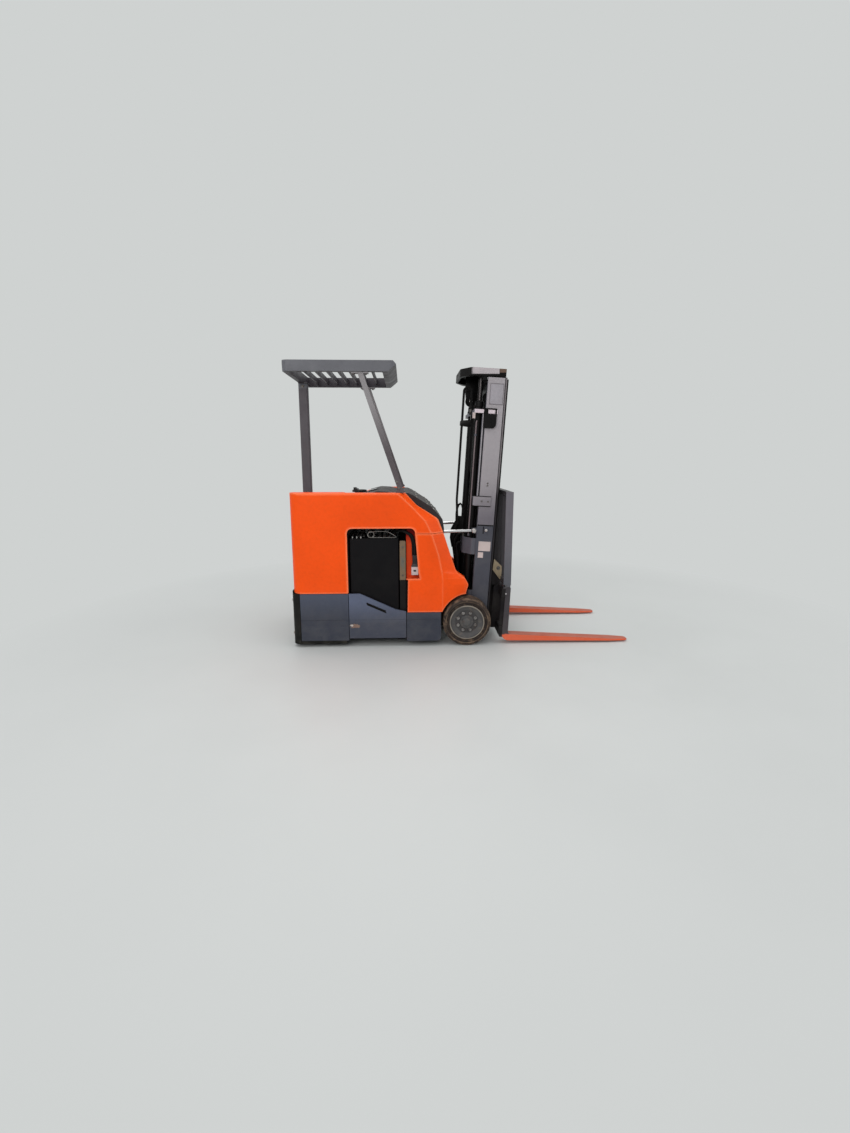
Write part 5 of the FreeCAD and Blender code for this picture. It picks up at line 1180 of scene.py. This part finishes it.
FLOOR_COLOUR = rgba(188, 190, 188)
WALL_COLOUR = rgba(226, 228, 226)
BACKDROP_COLOUR = rgba(207, 210, 209)
SKY_COLOUR, SKY_STRENGTH = (0.93, 0.96, 1.0, 1), 0.80


def seen_plainly(tree):
    """1 for the rays by which the backdrop is seen: from the camera, in metal and through glass."""
    path = tree.nodes.new("ShaderNodeLightPath")
    total = path.outputs["Is Camera Ray"]
    for name in ("Is Glossy Ray", "Is Transmission Ray"):
        more = tree.nodes.new("ShaderNodeMath")
        more.operation = "MAXIMUM"
        tree.links.new(total, more.inputs[0])
        tree.links.new(path.outputs[name], more.inputs[1])
        total = more.outputs["Value"]
    return total


def plain_beyond(look):
    """Far from the truck the floor and wall fade to one even colour, so that no seam or shade shows."""
    fade_from, fade_to = 2.0, 4.2
    away = look.remap(look.length(look.axis("X"), look.axis("Y")), fade_from, fade_to)
    seen = look.times(away, seen_plainly(look.tree))
    glow = look.node("ShaderNodeEmission")
    glow.inputs["Color"].default_value = BACKDROP_COLOUR
    choose = look.node("ShaderNodeMixShader")
    look.link(seen, choose.inputs["Fac"])
    look.link(look.shader.outputs["BSDF"], choose.inputs[1])
    look.link(glow.outputs["Emission"], choose.inputs[2])
    look.link(choose.outputs["Shader"], look.tree.nodes["Material Output"].inputs["Surface"])


def make_floor():
    """A plain floor that bends up into the wall behind the truck."""
    look = Look("floor_paint", 0.5)
    base = look.mix(look.remap(look.axis("Z"), 0.0, 4.0), FLOOR_COLOUR, WALL_COLOUR)
    base = look.mix(look.remap(look.noise(0.8, 4), 0.4, 0.65, 0, 0.04), base, BLACK)
    look.colour(base)
    look.bump(look.noise(6, 3), 0.03, 0.004)
    material = look.finish()
    plain_beyond(look)
    reach, back, high, bend = 30.0, 11.0, 17.0, 6.0
    profile = [(-reach, 0.0)]
    for i in range(17):
        angle = math.pi / 2 * i / 16
        profile.append((back - bend + bend * math.sin(angle), bend - bend * math.cos(angle)))
    profile.append((back, high))
    made = bmesh.new()
    rows = [[made.verts.new((x, y, z)) for y, z in profile] for x in (-reach, reach)]
    for i in range(len(profile) - 1):
        made.faces.new((rows[0][i], rows[1][i], rows[1][i + 1], rows[0][i + 1]))
    bmesh.ops.recalc_face_normals(made, faces=made.faces)
    mesh = bpy.data.meshes.new("floor")
    made.to_mesh(mesh)
    made.free()
    for polygon in mesh.polygons:
        polygon.use_smooth = True
    mesh.materials.append(material)
    floor = bpy.data.objects.new("floor", mesh)
    bpy.context.scene.collection.objects.link(floor)


def make_world():
    """Soft light from all round, in front of a plain backdrop."""
    world = bpy.data.worlds.new("studio")
    bpy.context.scene.world = world
    world.use_nodes = True
    tree = world.node_tree
    tree.nodes.clear()
    output = tree.nodes.new("ShaderNodeOutputWorld")
    soft = tree.nodes.new("ShaderNodeBackground")
    soft.inputs["Color"].default_value = SKY_COLOUR
    soft.inputs["Strength"].default_value = SKY_STRENGTH
    plain = tree.nodes.new("ShaderNodeBackground")
    plain.inputs["Color"].default_value = BACKDROP_COLOUR
    plain.inputs["Strength"].default_value = 1.0
    choose = tree.nodes.new("ShaderNodeMixShader")
    tree.links.new(seen_plainly(tree), choose.inputs["Fac"])
    tree.links.new(soft.outputs["Background"], choose.inputs[1])
    tree.links.new(plain.outputs["Background"], choose.inputs[2])
    tree.links.new(choose.outputs["Shader"], output.inputs["Surface"])


def area_light(name, place, target, size, power, colour):
    light = bpy.data.lights.new(name, "AREA")
    light.shape = "RECTANGLE"
    light.size, light.size_y = size
    light.energy = power
    light.color = colour
    lamp = bpy.data.objects.new(name, light)
    lamp.location = place
    lamp.rotation_mode = "QUATERNION"
    lamp.rotation_quaternion = (Vector(target) - Vector(place)).to_track_quat("-Z", "Y")
    bpy.context.scene.collection.objects.link(lamp)


def make_lights():
    area_light("ceiling", (-0.5, 0.5, 5.5), (0, 0, 0), (7.0, 6.0), 200, (1.0, 0.99, 0.97))
    area_light("side", (-3.5, -7.0, 4.2), (0, 0, 0.9), (5.0, 3.0), 200, (1.0, 0.99, 0.98))
    area_light("front", (6.0, -1.5, 3.2), (0, 0, 1.0), (4.0, 3.0), 60, (1.0, 0.97, 0.93))


def make_camera():
    """The photograph's own view: a wide lens, 1.58 m up, a little off the truck's side."""
    photo_height, focal_pixels, sensor = 1133.0, 536.0, 36.0
    eye, tipped_down, turned_right = (-0.495, -4.90, 1.58), 11.4, 2.1
    camera = bpy.data.cameras.new("camera")
    camera.sensor_fit = "AUTO"
    camera.sensor_width = sensor
    camera.lens = sensor * focal_pixels / photo_height
    camera.clip_start, camera.clip_end = 0.05, 200
    made = bpy.data.objects.new("camera", camera)
    made.location = eye
    made.rotation_euler = (math.radians(90 - tipped_down), 0, math.radians(-turned_right))
    bpy.context.scene.collection.objects.link(made)
    bpy.context.scene.camera = made


make_floor()
make_world()
make_lights()
make_camera()
bpy.context.scene.view_settings.view_transform = "Standard"
